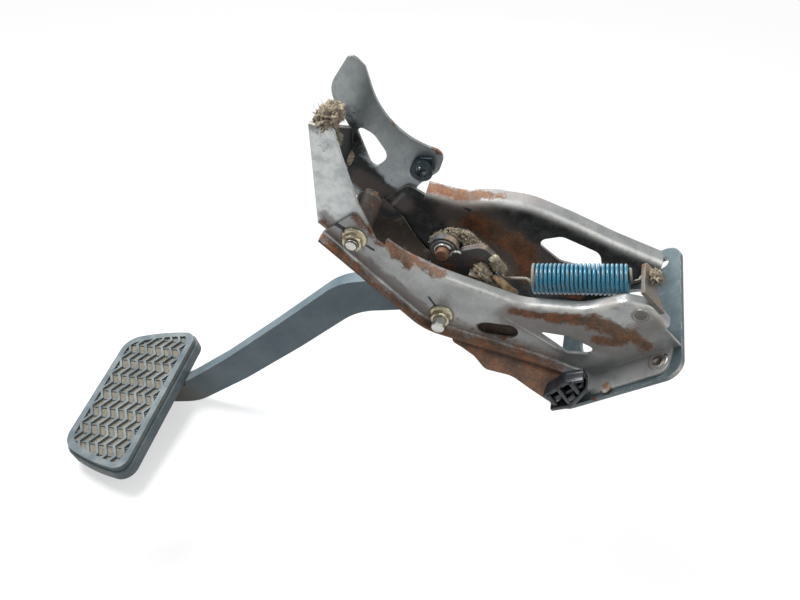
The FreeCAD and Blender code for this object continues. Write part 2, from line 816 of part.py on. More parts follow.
def make_arm():
    body = new_body("pedal_arm")
    side = sketch_in(body, "YZ_Plane", "ArmSide", -size("arm_thick") / 2)
    draw(side, arm_outline())
    pad(body, side, "ArmPad", "Sizes.arm_sideways + Sizes.arm_thick")
    bend_z = AXLE_Z - SIDE_BEND_DROP
    foot_z = AXLE_Z + ARM_LINE[-1][1] * size("pad_drop")
    lean = size("arm_sideways") / (bend_z - foot_z)
    half = size("arm_thick") / 2
    slant = half * math.sqrt(1 + lean * lean)
    top_z = AXLE_Z + size("arm_top_width") * 2
    low_z = foot_z - size("arm_foot_width") * 2
    shift = lean * (bend_z - low_z)
    far = size("arm_sideways") * 2
    right_side = sketch_in(body, "XZ_Plane", "ArmRightOutline", -AXLE_Y)
    draw(right_side, [
        (half, top_z, 0), (far, top_z, 0), (far + shift, low_z, 0),
        (shift + slant, low_z, 0), (half, bend_z, SIDE_BEND),
    ])
    pocket(body, right_side, "ArmRightCut")
    left_side = sketch_in(body, "XZ_Plane", "ArmLeftOutline", -AXLE_Y)
    draw(left_side, [
        (-half, top_z, 0), (-far, top_z, 0), (-far, low_z, 0),
        (shift - slant, low_z, 0), (-half, bend_z, SIDE_BEND),
    ])
    pocket(body, left_side, "ArmLeftCut")
    pad_back = size("pad_thick") + size("pad_plate_thick")
    tilt = math.radians(size("pad_tilt"))
    face_along = Vector(math.sin(tilt), math.cos(tilt), 0)
    rearward = Vector(-math.cos(tilt), math.sin(tilt), 0)
    middle = Vector(AXLE_Y - size("pad_back"), AXLE_Z - size("pad_drop"), 0) - rearward * pad_back
    trim = sketch_in(body, "YZ_Plane", "ArmFootTrim", -size("arm_thick"))
    half = size("pad_height") / 2
    corners = [middle - face_along * 2 * half, middle + face_along * half,
               middle + face_along * half + rearward * half,
               middle - face_along * 2 * half + rearward * half]
    draw(trim, [(spot.x, spot.y, 0) for spot in corners])
    pocket(body, trim, "ArmFootCut")
    boss_room = sketch_in(body, "YZ_Plane", "ArmBossRoom", -size("arm_thick"))
    draw_circle(boss_room, AXLE_Y, AXLE_Z, BOSS_OUTER)
    pocket(body, boss_room, "ArmBossCut", "Sizes.arm_thick * 3", reverse=True)
    nodes.append(body)
    return body


# Pad: steel plate and ribbed rubber cover, tilted to face the driver


def pad_placement():
    """The middle of the pad's face, its normal turned rearward and up."""
    turn = Rotation(Vector(1, 0, 0), 90 - size("pad_tilt"))
    middle = Vector(size("pad_sideways"), AXLE_Y - size("pad_back"), AXLE_Z - size("pad_drop"))
    return Placement(middle, turn)


def pad_corners(inset):
    """The pad's outline, its ends bulging, drawn in by an inset."""
    low = size("pad_low_length") / 2 - inset
    high = size("pad_high_length") / 2 - inset
    half = size("pad_height") / 2 - inset
    end = (low + high) / 2 + size("pad_bulge")
    end_radius = size("pad_end_radius")
    low_corner = size("pad_low_corner") - inset
    high_corner = size("pad_corner") - inset
    return [
        (-low, -half, low_corner), (low, -half, low_corner), (end, 0, end_radius),
        (high, half, high_corner), (-high, half, high_corner), (-end, 0, end_radius),
    ]


def prism(name, outlines, low, high):
    """A Part::Extrusion of closed outlines, from one height of the pad to another."""
    sketch = doc.addObject("Sketcher::SketchObject", name + "_outline")
    draw(sketch, *outlines)
    sketch.Placement = Placement(Vector(0, 0, low), Rotation())
    item = doc.addObject("Part::Extrusion", name)
    item.Base = sketch
    item.Dir = Vector(0, 0, 1)
    item.LengthFwd = high - low
    item.Solid = True
    return item


def zigzags():
    """The tread's ribs along the pad, each a zigzag band of even width."""
    pitch = size("tread_pitch")
    half_period = size("tread_period") / 2
    swing = size("tread_swing")
    lean = math.hypot(half_period, swing) / half_period
    half_rib = size("tread_rib") * lean / 2
    turns = math.ceil(size("pad_high_length") / 2 / half_period)
    across = math.ceil(size("pad_height") / 2 / pitch)
    bands = []
    for row in range(-across, across + 1):
        line = [
            (turn * half_period, row * pitch + (swing / 2 if turn % 2 else -swing / 2))
            for turn in range(-turns, turns + 1)
        ]
        upper = [(u, v + half_rib, 0) for u, v in line]
        lower = [(u, v - half_rib, 0) for u, v in line]
        bands.append(lower + upper[::-1])
    return bands


def sills():
    """The low bars that cross the tread's channels where these turn."""
    half_period = size("tread_period") / 2
    half_sill = size("tread_sill") / 2
    half = size("pad_height") / 2
    turns = math.ceil(size("pad_high_length") / 2 / half_period)
    return [
        [(turn * half_period - half_sill, -half, 0), (turn * half_period + half_sill, -half, 0),
         (turn * half_period + half_sill, half, 0), (turn * half_period - half_sill, half, 0)]
        for turn in range(-turns, turns + 1)
    ]


def make_pad():
    place = pad_placement()
    floor = -size("tread_depth")
    step = size("pad_step")
    border = size("tread_border")
    skirt = prism("pad_skirt", [pad_corners(0)], -size("pad_thick"), -size("pad_step_depth"))
    top = prism("pad_top", [pad_corners(step)], -size("pad_step_depth"), 0)
    block = fuse("pad_block", skirt, top)
    well = prism("tread_well", [pad_corners(border)], floor, step)
    tray = cut("pad_tray", block, well)
    ribs = fuse("tread_bars", prism("tread_ribs", zigzags(), floor, 0),
                prism("tread_sills", sills(), floor, floor + size("tread_sill_rise")))
    tread = doc.addObject("Part::Common", "tread")
    tread.Base = ribs
    tread.Tool = well
    cover = fuse("pad_cover", tray, tread)
    cover.Placement = place
    doc.recompute()
    nodes.append(cover)

    backing = new_body("pad_plate")
    outline = sketch_in(backing, "XY_Plane", "BackingOutline", -size("pad_thick"))
    draw(outline, pad_corners(size("pad_plate_inset")))
    pad(backing, outline, "BackingPad", "Sizes.pad_plate_thick", reverse=True)
    backing.Placement = place
    nodes.append(backing)


# Rear weld nut, spring and wiring clip


def make_weld_nut():
    wall = cylinder("rear_weld_nut_wall", "Sizes.weld_nut_radius", "Sizes.weld_nut_thick",
                    -OUTER, WELD_NUT_Y, WELD_NUT_Z)
    bore = cylinder("rear_weld_nut_bore", "Sizes.bolt_radius", "Sizes.weld_nut_thick",
                    -OUTER, WELD_NUT_Y, WELD_NUT_Z)
    nodes.append(cut("rear_weld_nut", wall, bore))


# Where the spring hooks the tongue, seen from the side
TONGUE_HOOK = (6, 38, 0)
GROOVE_FLOOR = 0.4


def spring_ends():
    """Where the spring hooks, on the tongue and in the tab."""
    [(rear_y, rear_z, _)] = from_axle([TONGUE_HOOK])
    rear = Vector(SPRING_X, rear_y, rear_z)
    front_y = AXLE_Y + TAB_START * GROWTH + size("tab_width") / 2
    return rear, Vector(SPRING_X, front_y, FRONT_TOP)


def ring_of_points(radius, height):
    """A regular polygon round the spring's axis."""
    count = int(size("spring_sides"))
    turns = [2 * math.pi * side / count for side in range(count)]
    return [Vector(radius * math.cos(turn), radius * math.sin(turn), height) for turn in turns]


def wall_between(lower, upper):
    """Flat faces that join two polygons corner by corner."""
    faces = []
    for side in range(len(lower)):
        after = (side + 1) % len(lower)
        quad = [lower[side], lower[after], upper[after], upper[side], lower[side]]
        faces.append(Part.Face(Part.makePolygon(quad)))
    return faces


def make_spring():
    rear, front = spring_ends()
    axis = (front - rear).normalize()
    coil_length = (front - rear).Length - size("rear_hook") - size("front_hook")
    wire = size("spring_wire") / 2
    mean = size("spring_radius") - wire
    turns = int(size("spring_turns"))
    pitch = coil_length / turns
    rings = [ring_of_points(mean, 0)]
    for turn in range(turns):
        rings.append(ring_of_points(mean + wire, (turn + 0.5) * pitch))
        rings.append(ring_of_points(mean, (turn + 1) * pitch))
    bore = [ring_of_points(mean - GROOVE_FLOOR, height) for height in (0, coil_length)]
    loop = rings + bore[::-1] + rings[:1]
    faces = []
    for lower, upper in zip(loop, loop[1:]):
        faces += wall_between(lower, upper)
    coil = Part.makeSolid(Part.makeShell(faces))
    if coil.Volume < 0:
        coil.reverse()
    turn = Rotation(Vector(0, 0, 1), axis)
    place = Placement(rear + axis * size("rear_hook"), turn)
    nodes.append(solid("return_spring", coil, place))


CLIP_STANDOFF = 12.0
CLIP = [(74, 22, 3), (91, 20, 3), (94, 34, 3), (80, 58, 4), (67, 61, 4), (66, 46, 4)]


def make_wiring_clip():
    body = new_body("wiring_clip")
    outline = sketch_in(body, "YZ_Plane", "ClipOutline", OUTER + CLIP_STANDOFF)
    draw(outline, from_axle(CLIP))
    pad(body, outline, "ClipPad", "Sizes.clip_length / 2")
    nodes.append(body)


make_mount_plate()
make_right_plate()
make_left_plate()
make_rear_bracket()
make_axles()
make_bush("pivot_bush_right", 1)
make_bush("pivot_bush_left", -1)
make_boss()
add_ear(make_lever("lever_plate_right", LEVER_X), LEVER_X)
make_lever("lever_plate_left", -LEVER_X - size("lever_sheet"))
make_tongue()
make_tab()
make_clevis()
make_arm()
make_pad()
make_weld_nut()
make_spring()
make_wiring_clip()

doc.recompute()
failed = [item.Name for item in doc.Objects if {"Invalid", "Error"} & set(item.State)]
if failed:
    raise ValueError("failed: %s" % failed)
os.makedirs("parts", exist_ok=True)
for item in nodes:
    shape = item.Shape
    if shape.isNull() or not shape.isValid():
        raise ValueError("%s has no valid shape" % item.Label)
    print(item.Label, len(shape.Solids), round(shape.Volume))
for item in nodes:
    item.Shape.exportStep("parts/%s.step" % item.Label)
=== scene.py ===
import json
import math
import random

import bmesh
import bpy
from mathutils import Matrix, Vector, noise


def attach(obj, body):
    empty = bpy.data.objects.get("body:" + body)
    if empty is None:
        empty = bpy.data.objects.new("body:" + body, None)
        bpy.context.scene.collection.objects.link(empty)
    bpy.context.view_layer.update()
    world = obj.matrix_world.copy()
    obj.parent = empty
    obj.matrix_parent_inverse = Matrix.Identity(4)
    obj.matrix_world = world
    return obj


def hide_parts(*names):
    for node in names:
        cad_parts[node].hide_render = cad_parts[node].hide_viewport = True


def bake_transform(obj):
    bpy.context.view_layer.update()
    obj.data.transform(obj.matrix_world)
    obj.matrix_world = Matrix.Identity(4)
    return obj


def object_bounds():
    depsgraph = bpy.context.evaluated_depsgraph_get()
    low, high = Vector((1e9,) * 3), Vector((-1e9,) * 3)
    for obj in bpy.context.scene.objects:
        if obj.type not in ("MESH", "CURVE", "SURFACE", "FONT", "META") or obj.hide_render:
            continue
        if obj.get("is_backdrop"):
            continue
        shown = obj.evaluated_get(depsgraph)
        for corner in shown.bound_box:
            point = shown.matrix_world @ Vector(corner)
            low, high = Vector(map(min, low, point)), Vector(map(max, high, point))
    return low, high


# A used brake pedal: stamped steel bracket, bent arm, ribbed rubber pad and blue return spring.
# Metres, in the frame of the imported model.

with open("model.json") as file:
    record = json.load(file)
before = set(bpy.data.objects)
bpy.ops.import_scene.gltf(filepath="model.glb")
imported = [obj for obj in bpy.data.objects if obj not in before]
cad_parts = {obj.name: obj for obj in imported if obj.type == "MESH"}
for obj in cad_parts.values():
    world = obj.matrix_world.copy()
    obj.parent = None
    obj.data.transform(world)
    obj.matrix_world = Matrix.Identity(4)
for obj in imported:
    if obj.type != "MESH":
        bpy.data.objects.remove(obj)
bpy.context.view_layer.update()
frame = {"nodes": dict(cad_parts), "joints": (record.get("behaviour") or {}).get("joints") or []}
nodes = frame["nodes"]
mm = 0.001

# The pedal's axle, from the joint. Most places are given from it.
axle = Vector(frame["joints"][0]["pos_m"])


def fromAxle(x, y, z):
    # millimetres: x from the middle, y towards the mount plate and z up
    return Vector((x * mm, axle.y + y * mm, axle.z + z * mm))


# Shader maths

class Wire:
    # One socket. Python's operators on it add the Math nodes.
    def __init__(self, coat, socket):
        self.coat = coat
        self.socket = socket

    def maths(self, operation, *values):
        return self.coat.node("ShaderNodeMath", {"operation": operation}, dict(enumerate(values)))

    def __add__(self, other):
        return self.maths("ADD", self, other)

    def __radd__(self, other):
        return self.maths("ADD", other, self)

    def __sub__(self, other):
        return self.maths("SUBTRACT", self, other)

    def __rsub__(self, other):
        return self.maths("SUBTRACT", other, self)

    def __mul__(self, other):
        return self.maths("MULTIPLY", self, other)

    def atLeast(self, other):
        return self.maths("MAXIMUM", self, other)

    def atMost(self, other):
        return self.maths("MINIMUM", self, other)

    def clamped(self):
        return self.atLeast(0.0).atMost(1.0)


edgeRadius = 0.7


class Coat:
    # One material with its Principled shader, and the masks that its colours are mixed by
    def __init__(self, name, roughness=0.5, metallic=0.0, **fixed):
        self.material = bpy.data.materials.new(name)
        self.material.use_nodes = True
        self.tree = self.material.node_tree
        self.tree.nodes.clear()
        self.shader = self.tree.nodes.new("ShaderNodeBsdfPrincipled")
        output = self.tree.nodes.new("ShaderNodeOutputMaterial")
        self.tree.links.new(self.shader.outputs[0], output.inputs[0])
        self.set(Roughness=roughness, Metallic=metallic, **fixed)
        self.place = self.node("ShaderNodeTexCoord", output="Object")
        self.facing = self.node("ShaderNodeNewGeometry", output="True Normal")
        self.rounded = self.node("ShaderNodeBevel", {"samples": 4}, {"Radius": edgeRadius * mm})

    def node(self, kind, settings=None, values=None, output=0):
        made = self.tree.nodes.new(kind)
        for name, value in (settings or {}).items():
            setattr(made, name, value)
        for name, value in (values or {}).items():
            self.feed(made.inputs[name], value)
        return Wire(self, made.outputs[output])

    def feed(self, socket, value):
        if isinstance(value, Wire):
            self.tree.links.new(value.socket, socket)
        elif socket.type == "RGBA" and len(value) == 3:
            socket.default_value = (*value, 1)
        else:
            socket.default_value = value

    def set(self, **values):
        for name, value in values.items():
            self.feed(self.shader.inputs[name.replace("_", " ")], value)

    def mix(self, mask, first, second):
        # inputs 6 and 7 and output 2 of a Mix node are its colours
        return self.node("ShaderNodeMix", {"data_type": "RGBA"}, {0: mask, 6: first, 7: second}, 2)

    def axis(self, number, of=None):
        # one coordinate of the place, or of another vector
        return self.node("ShaderNodeSeparateXYZ", values={0: of or self.place}, output=number)

    def grain(self, scale, detail, roughness=0.6, output=0):
        values = {"Vector": self.place, "Scale": scale, "Detail": detail, "Roughness": roughness}
        return self.node("ShaderNodeTexNoise", values=values, output=output)

    def ramp(self, value, low, high):
        # a smooth step from 0 at low to 1 at high
        values = {0: value, 1: low, 2: high}
        return self.node("ShaderNodeMapRange", {"interpolation_type": "SMOOTHSTEP"}, values)

    def bent(self, reach, scale=90):
        # the place pushed about by noise, so that what is drawn with it has a ragged outline
        noisy = self.grain(scale, 5, 0.65, output=1)
        centred = self.vector("SUBTRACT", noisy, (0.5, 0.5, 0.5))
        return self.vector("MULTIPLY_ADD", centred, (reach * mm,) * 3, self.place)

    def vector(self, operation, *values, output=0):
        return self.node("ShaderNodeVectorMath", {"operation": operation},
                         dict(enumerate(values)), output)

    def distanceTo(self, spot, place=None):
        return self.vector("DISTANCE", place or self.place, spot, output=1)

    def distanceAlong(self, start, end, place):
        # how far the place lies from the line between two points
        along = end - start
        offset = self.vector("SUBTRACT", place, start)
        share = self.vector("DOT_PRODUCT", offset, along / along.length_squared, output=1)
        foot = self.node("ShaderNodeVectorMath", {"operation": "SCALE"},
                         {0: tuple(along), "Scale": share.clamped()})
        return self.vector("DISTANCE", offset, foot, output=1)

    def near(self, spot, radius, core, place=None):
        # 1 within the core's share of a radius in millimetres, fading to 0 at the radius
        return 1 - self.ramp(self.distanceTo(spot, place), radius * core * mm, radius * mm)

    def patches(self, marks, place, core=0.25):
        # the strongest of several blots (spot, radius) and bands (start, end, radius), whose
        # spots are given from the axle
        total = None
        for *spots, radius in marks:
            spots = [fromAxle(*spot) for spot in spots]
            if len(spots) == 1:
                distance = self.distanceTo(spots[0], place)
            else:
                distance = self.distanceAlong(*spots, place)
            mask = 1 - self.ramp(distance, radius * core * mm, radius * mm)
            total = mask if total is None else total.atLeast(mask)
        return total

    def stroke(self, start, end, width):
        # a brush mark between two spots given from the axle, its width in millimetres
        distance = self.distanceAlong(fromAxle(*start), fromAxle(*end), self.bent(1.2, 700))
        return 1 - self.ramp(distance, width * 0.36 * mm, width * 0.64 * mm)

    def edges(self):
        # 1 along the edges, where the rounded normal turns away from the face
        agreement = self.vector("DOT_PRODUCT", self.rounded, self.facing, output=1)
        return self.ramp(1 - agreement, 0.015, 0.14)

    def bump(self, height, distance):
        # relief of so many millimetres over rounded edges
        values = {
            "Height": height, "Distance": distance * mm, "Strength": 1.0, "Normal": self.rounded,
        }
        self.set(Normal=self.node("ShaderNodeBump", values=values))


# Colours, as linear light

steelLight = (0.44, 0.45, 0.445)
steelGrey = (0.3, 0.308, 0.305)
steelBlue = (0.125, 0.168, 0.185)
# pale steel for worn edges and for painted highlights on the bends
paleWearAndHighlight = (0.66, 0.65, 0.6)
paintedHighlightSteel = (0.74, 0.77, 0.76)
# pale steel for painted highlights
steelDark = (0.1, 0.107, 0.108)
pitBrown = (0.13, 0.115, 0.095)
stainBrown = (0.19, 0.15, 0.135)
# near black for painted shade with old oil on the inner faces
shadeAndOilBlack = (0.013, 0.0135, 0.013)
# near black for painted shade
paintedShadeBlack = (0.012, 0.014, 0.015)
rustBrown = (0.19, 0.072, 0.029)
rustDark = (0.05, 0.025, 0.015)
rustOrange = (0.36, 0.135, 0.046)
dustTan = (0.32, 0.235, 0.15)
dustBrown = (0.24, 0.185, 0.13)
paintInk = (0.012, 0.016, 0.03)


def bendHighlight(coat):
    # 1 on the rounded bends, whose faces look half along X and half across it. It places a painted
    # highlight, partly polished wear, along the bends.
    across = coat.axis(0, coat.facing)
    flat = across * across
    return (flat * (1 - flat) * 4).clamped()


def sheetSteel(name, marks, light=steelLight, dark=steelGrey, innerShade=0.0, rim=0.5):
    # Bare pressed steel. marks holds the places of rust, dust, stain and strokes of ink, and it
    # may hold painted highlights and painted shade, which lies only on faces that look along +X or
    # +Y. innerShade is how far painted shade, with old oil, darkens the faces that look along +X,
    # rim how strongly the edges are worn.
    coat = Coat(name, roughness=0.4, metallic=0.6, Specular_IOR_Level=0.3)
    cloud = coat.grain(26, 5, 0.6)
    patch = coat.grain(110, 6, 0.7)
    speck = coat.grain(420, 5, 0.72)
    fine = coat.grain(1500, 3, 0.6)
    ragged = coat.bent(13)
    colour = coat.mix(coat.ramp(cloud * 0.7 + patch * 0.3, 0.38, 0.62), dark, light)
    colour = coat.mix(coat.ramp(patch, 0.56, 0.7) * 0.3, colour, steelGrey)
    pits = coat.ramp(speck, 0.57, 0.7) * coat.ramp(patch, 0.38, 0.58)
    colour = coat.mix(pits * 0.6, colour, pitBrown)
    # painted highlight along the rounded bends, partly polished wear
    bend = bendHighlight(coat)
    colour = coat.mix(bend * coat.ramp(patch + speck * 0.4, 0.5, 0.8) * 0.8, colour, paleWearAndHighlight)
    darkened = 0.0
    # painted shade with old oil: the faces that look along +X, inside the bracket, go near black
    if innerShade:
        darkened = coat.ramp(coat.axis(0, coat.facing), 0.3, 0.95) * innerShade
        colour = coat.mix(darkened * (0.88 + coat.ramp(patch, 0.35, 0.6) * 0.12), colour, shadeAndOilBlack)
    # painted highlights: pale bands and blots where light catches the steel
    if "paintedHighlight" in marks:
        paintedHighlight = coat.patches(marks["paintedHighlight"], coat.place, 0.1)
        colour = coat.mix(paintedHighlight * (0.45 + coat.ramp(patch, 0.35, 0.6) * 0.5), colour, paintedHighlightSteel)
    # painted shade: dark blots on the faces that look inward, along +X or +Y
    if "paintedShade" in marks:
        paintedShade = coat.ramp(coat.patches(marks["paintedShade"], ragged, 0.45) + (patch - 0.5) * 0.5, 0.12, 0.9)
        inward = coat.axis(0, coat.facing) + coat.axis(1, coat.facing)
        paintedShade = paintedShade * coat.ramp(inward, -0.1, 0.3)
        colour = coat.mix(paintedShade * 0.98, colour, paintedShadeBlack)
        darkened = (paintedShade * 0.8).atLeast(darkened)
    stained = coat.patches(marks["stain"], ragged, 0.1)
    stain = coat.ramp(stained + (patch - 0.5) * 0.8, 0.25, 0.9)
    colour = coat.mix(stain * 0.5, colour, stainBrown)
    dusty = coat.patches(marks["dust"], ragged)
    dust = coat.ramp(dusty + (patch - 0.5) * 0.9 + (speck - 0.5) * 0.9, 0.5, 0.95)
    colour = coat.mix(dust * 0.5, colour, dustBrown)
    rusty = coat.patches(marks["rust"], ragged)
    eaten = coat.ramp(rusty + (patch - 0.5) * 0.8 + (speck - 0.5) * 1.2, 0.2, 1.0)
    tone = coat.mix(coat.ramp(patch * 0.6 + speck * 0.4, 0.34, 0.56), rustDark, rustBrown)
    tone = coat.mix(coat.ramp(patch + (fine - 0.5) * 0.8, 0.46, 0.68) * 0.8, tone, rustOrange)
    tone = coat.mix(coat.ramp(fine * 0.6 + cloud * 0.6, 0.6, 0.72) * 0.45, tone, dustTan)
    tone = coat.mix(coat.ramp(rusty + (cloud - 0.5) * 0.8, 0.55, 1.05) * 0.22, tone, rustDark)
    colour = coat.mix(eaten * 0.92, colour, tone)
    edge = coat.edges()
    browned = coat.mix(coat.ramp(patch, 0.42, 0.56), paleWearAndHighlight, rustBrown)
    colour = coat.mix(edge * rim * (1 - eaten * 0.6), colour, browned)
    for start, end, width in marks["ink"]:
        colour = coat.mix(coat.stroke(start, end, width) * 0.9, colour, paintInk)
    dull = (eaten + dust * 0.8 + stain * 0.5 + darkened * 0.75).clamped()
    coat.set(Base_Color=colour, Metallic=0.62 - dull * 0.58,
             Roughness=0.36 + dull * 0.45 + (speck - 0.5) * 0.16 + pits * 0.2)
    coat.bump(speck * 0.35 + fine * 0.2 + eaten * (speck + patch) * 1.5 - pits * 0.5, 0.2)
    return coat.material


# Marks on the sheets, in millimetres from the axle: blots (spot, radius), bands (start, end,
# radius) and strokes of ink (start, end, width)

rightMarks = {
    "rust": [
        ((35, 21, 42), (35, 38, 60), 5.5),
        ((35, 38, 60), (35, 54, 79), 8),
        ((35, 54, 79), (35, 72, 88), 12),
        ((35, 72, 88), (35, 86, 92), 9),
        ((35, 70, 72), (35, 75, 82), 8),
        ((31, -86, 13), (31, -45, 13), 8),
        ((31, -45, 13), (31, -25, 24), 5),
        ((41, -90, -14), (41, -5, -14), 7),
        ((42, -5, -13), (42, 28, 5), 10),
        ((42, 28, 5), (42, 66, 30), 9),
        ((50, 12, -6), (50, 70, 28), 26),
        ((50, 94, 60), 5.5),
        ((46, 5, -10), (46, 72, 30), 20),
        ((36, 22, 15), (36, 38, 22), 5),
    ],
    "dust": [
        ((52, 30, 6), (52, 62, 22), 9),
        ((42, 90, 44), 8),
        ((44, 40, 12), 6),
    ],
    "stain": [
        ((35, 25, 40), (35, 80, 80), 24),
        ((36, 72, 102), 20),
        ((35, 60, 52), (35, 84, 76), 12),
        ((33, 5, 45), (33, 45, 95), 9),
        ((35, -60, -8), (35, 10, -6), 9),
    ],
    "ink": [
        ((35, -93.5, -0.5), (35, -86.5, 1), 3.4),
        ((35, -69, 2.8), (35, -64.5, 3.8), 2.0),
        ((35, -16, 4), (35, 0, 0), 1.7),
    ],
    # a blot of painted shade near the front of the hem
    "paintedShade": [((44, 92, 58), 7)],
}
leftMarks = {
    "rust": [
        ((-42, -46, 7), (-42, -20, 29), 10),
        ((-42, -20, 29), (-42, -8, 42), 7),
        ((-33, -8, 20), (-33, 30, 33), 15),
        ((-33, 30, 33), (-33, 50, 20), 15),
        ((-33, 60, 25), (-33, 84, 36), 10),
        ((-42, 40, 74), 5),
    ],
    "dust": [
        ((-33, -10, 5), (-33, 40, 5), 16),
        ((-38, -36, 16), 9),
    ],
    "stain": [
        ((-33, -20, 20), (-33, 60, 30), 34),
        ((-33, -48, -10), 16),
        ((-44, -30, 24), (-44, 10, 60), 10),
    ],
    "ink": [((-33, -29, 18), (-33, -18, 24), 2.2)],
    # a band of painted highlight
    "paintedHighlight": [((-35, -54, -4), (-35, -50, -28), 3)],
}
rearMarks = {
    "rust": [
        ((0, -98, -8), (30, -94, -8), 9),
        ((33, -76, 14), (33, -70, 4), 4),
        ((0, -92, -12), 14),
        ((-37, -130, 43), (-37, -95, 31), 2.5),
        ((-37, -95, 31), (-37, -60, 41), 2.5),
    ],
    # painted shade on the inner faces of the rear bracket's wall and far wing
    "paintedShade": [
        ((4, -130, 24), (4, -98, -10), 31),
        ((-20, -120, 12), (-24, -98, -10), 20),
        ((-35, -94, -16), (-35, -52, -20), 16),
    ],
    # painted highlights on the near leg: lines along its fold and a broad pale area
    "paintedHighlight": [
        ((33, -144, 40), (33, -100, -8), 3),
        ((33, -143, 46), (33, -120, 38), 2),
        ((33, -132, 30), (33, -104, 0), 40),
    ],
    "dust": [((28, -143, 42), 13)],
    "stain": [
        ((-35, -80, -22), (-35, -55, -15), 17),
        ((0, -100, -8), 26),
        ((33, -98, -2), (33, -84, -8), 8),
    ],
    "ink": rightMarks["ink"][:2],
}
mountMarks = {
    "rust": [((55, 96, 52), 4), ((-50, 99, 25), 7), ((-55, 99, 66), 5)],
    "dust": [((20, 96, 30), 6)],
    "stain": [((-40, 96, 40), 16)],
    "ink": [],
}


def platedSteel(name, tint, rust=0.25):
    # zinc plating on bolts and nuts, with rust spots and a dab of ink on the rear nut
    coat = Coat(name, roughness=0.34, metallic=0.9)
    cloud = coat.grain(160, 5, 0.65)
    fine = coat.grain(1400, 3)
    spots = coat.ramp(cloud, 0.62 - rust * 0.4, 0.74)
    colour = coat.mix(coat.ramp(fine, 0.3, 0.7), [part * 0.72 for part in tint], tint)
    colour = coat.mix(spots, colour, rustBrown)
    ink = coat.stroke((36, -87, 0), (36, -84, 1), 2)
    colour = coat.mix(ink * 0.85, colour, paintInk)
    coat.set(Base_Color=colour, Metallic=0.9 - spots * 0.75, Roughness=0.32 + spots * 0.5)
    coat.bump(fine + spots * cloud * 2, 0.05)
    return coat.material


def brownSteel(name, base, rust, dust):
    # oily, rust-stained steel of the lever plate, tubes, pin, tongue and tab
    coat = Coat(name, roughness=0.55, metallic=0.5)
    cloud = coat.grain(70, 6, 0.65)
    speck = coat.grain(420, 5, 0.7)
    eaten = coat.ramp(cloud + (speck - 0.5) * 0.5, 0.62 - rust * 0.35, 0.78 - rust * 0.25)
    dirt = coat.ramp(coat.axis(2, coat.facing) * 0.35 + cloud * 0.7 + speck * 0.3,
                     0.98 - dust, 1.25 - dust)
    tone = coat.mix(coat.ramp(speck, 0.38, 0.66), rustDark, rustBrown)
    colour = coat.mix(eaten, coat.mix(speck * 0.6, base, steelDark), tone)
    colour = coat.mix(dirt * 0.85, colour, dustTan)
    colour = coat.mix(coat.edges() * 0.5 * coat.ramp(cloud, 0.4, 0.55), colour, paleWearAndHighlight)
    dull = (eaten + dirt).clamped()
    coat.set(Base_Color=colour, Metallic=0.5 - dull * 0.48, Roughness=0.48 + dull * 0.4)
    coat.bump(speck + cloud * 0.6, 0.25)
    return coat.material


armColours = {
    "dark": (0.07, 0.108, 0.132), "light": (0.12, 0.162, 0.185), "scuff": (0.24, 0.24, 0.23),
    "edge": (0.3, 0.33, 0.34), "dust": (0.17, 0.15, 0.11),
}


def armPaint(name):
    # blue-grey stove paint on the arm, rubbed pale along its edges and dusty near the pad
    coat = Coat(name, roughness=0.42)
    cloud = coat.grain(34, 5, 0.6)
    speck = coat.grain(520, 4, 0.6)
    colour = coat.mix(coat.ramp(cloud, 0.3, 0.7), armColours["dark"], armColours["light"])
    scuff = coat.ramp(speck + (cloud - 0.5) * 0.5, 0.66, 0.8)
    colour = coat.mix(scuff * 0.45, colour, armColours["scuff"])
    rubbed = coat.edges() * coat.ramp(cloud + speck * 0.3, 0.5, 0.8)
    colour = coat.mix(rubbed * 0.6, colour, armColours["edge"])
    low = coat.near(fromAxle(50, -60, -258), 62, 0.1, coat.bent(20, 40))
    dust = (low * coat.ramp(cloud + speck * 0.3, 0.35, 0.75)).clamped()
    colour = coat.mix(dust * 0.8, colour, armColours["dust"])
    coat.set(Base_Color=colour, Roughness=0.4 + dust * 0.4 + scuff * 0.15)
    coat.bump(speck * 0.4 + coat.grain(1500, 2) * 0.4, 0.07)
    return coat.material


padMiddle = fromAxle(72, -86, -254)
padTilt = math.radians(37)
padNormal = Vector((0, -math.cos(padTilt), math.sin(padTilt)))
padColours = {
    "dark": (0.05, 0.078, 0.094), "light": (0.098, 0.132, 0.148), "earth": (0.115, 0.1, 0.078),
    "dryEarth": (0.25, 0.215, 0.155), "worn": (0.26, 0.27, 0.255), "edge": (0.22, 0.25, 0.26),
    "side": (0.15, 0.145, 0.125),
}


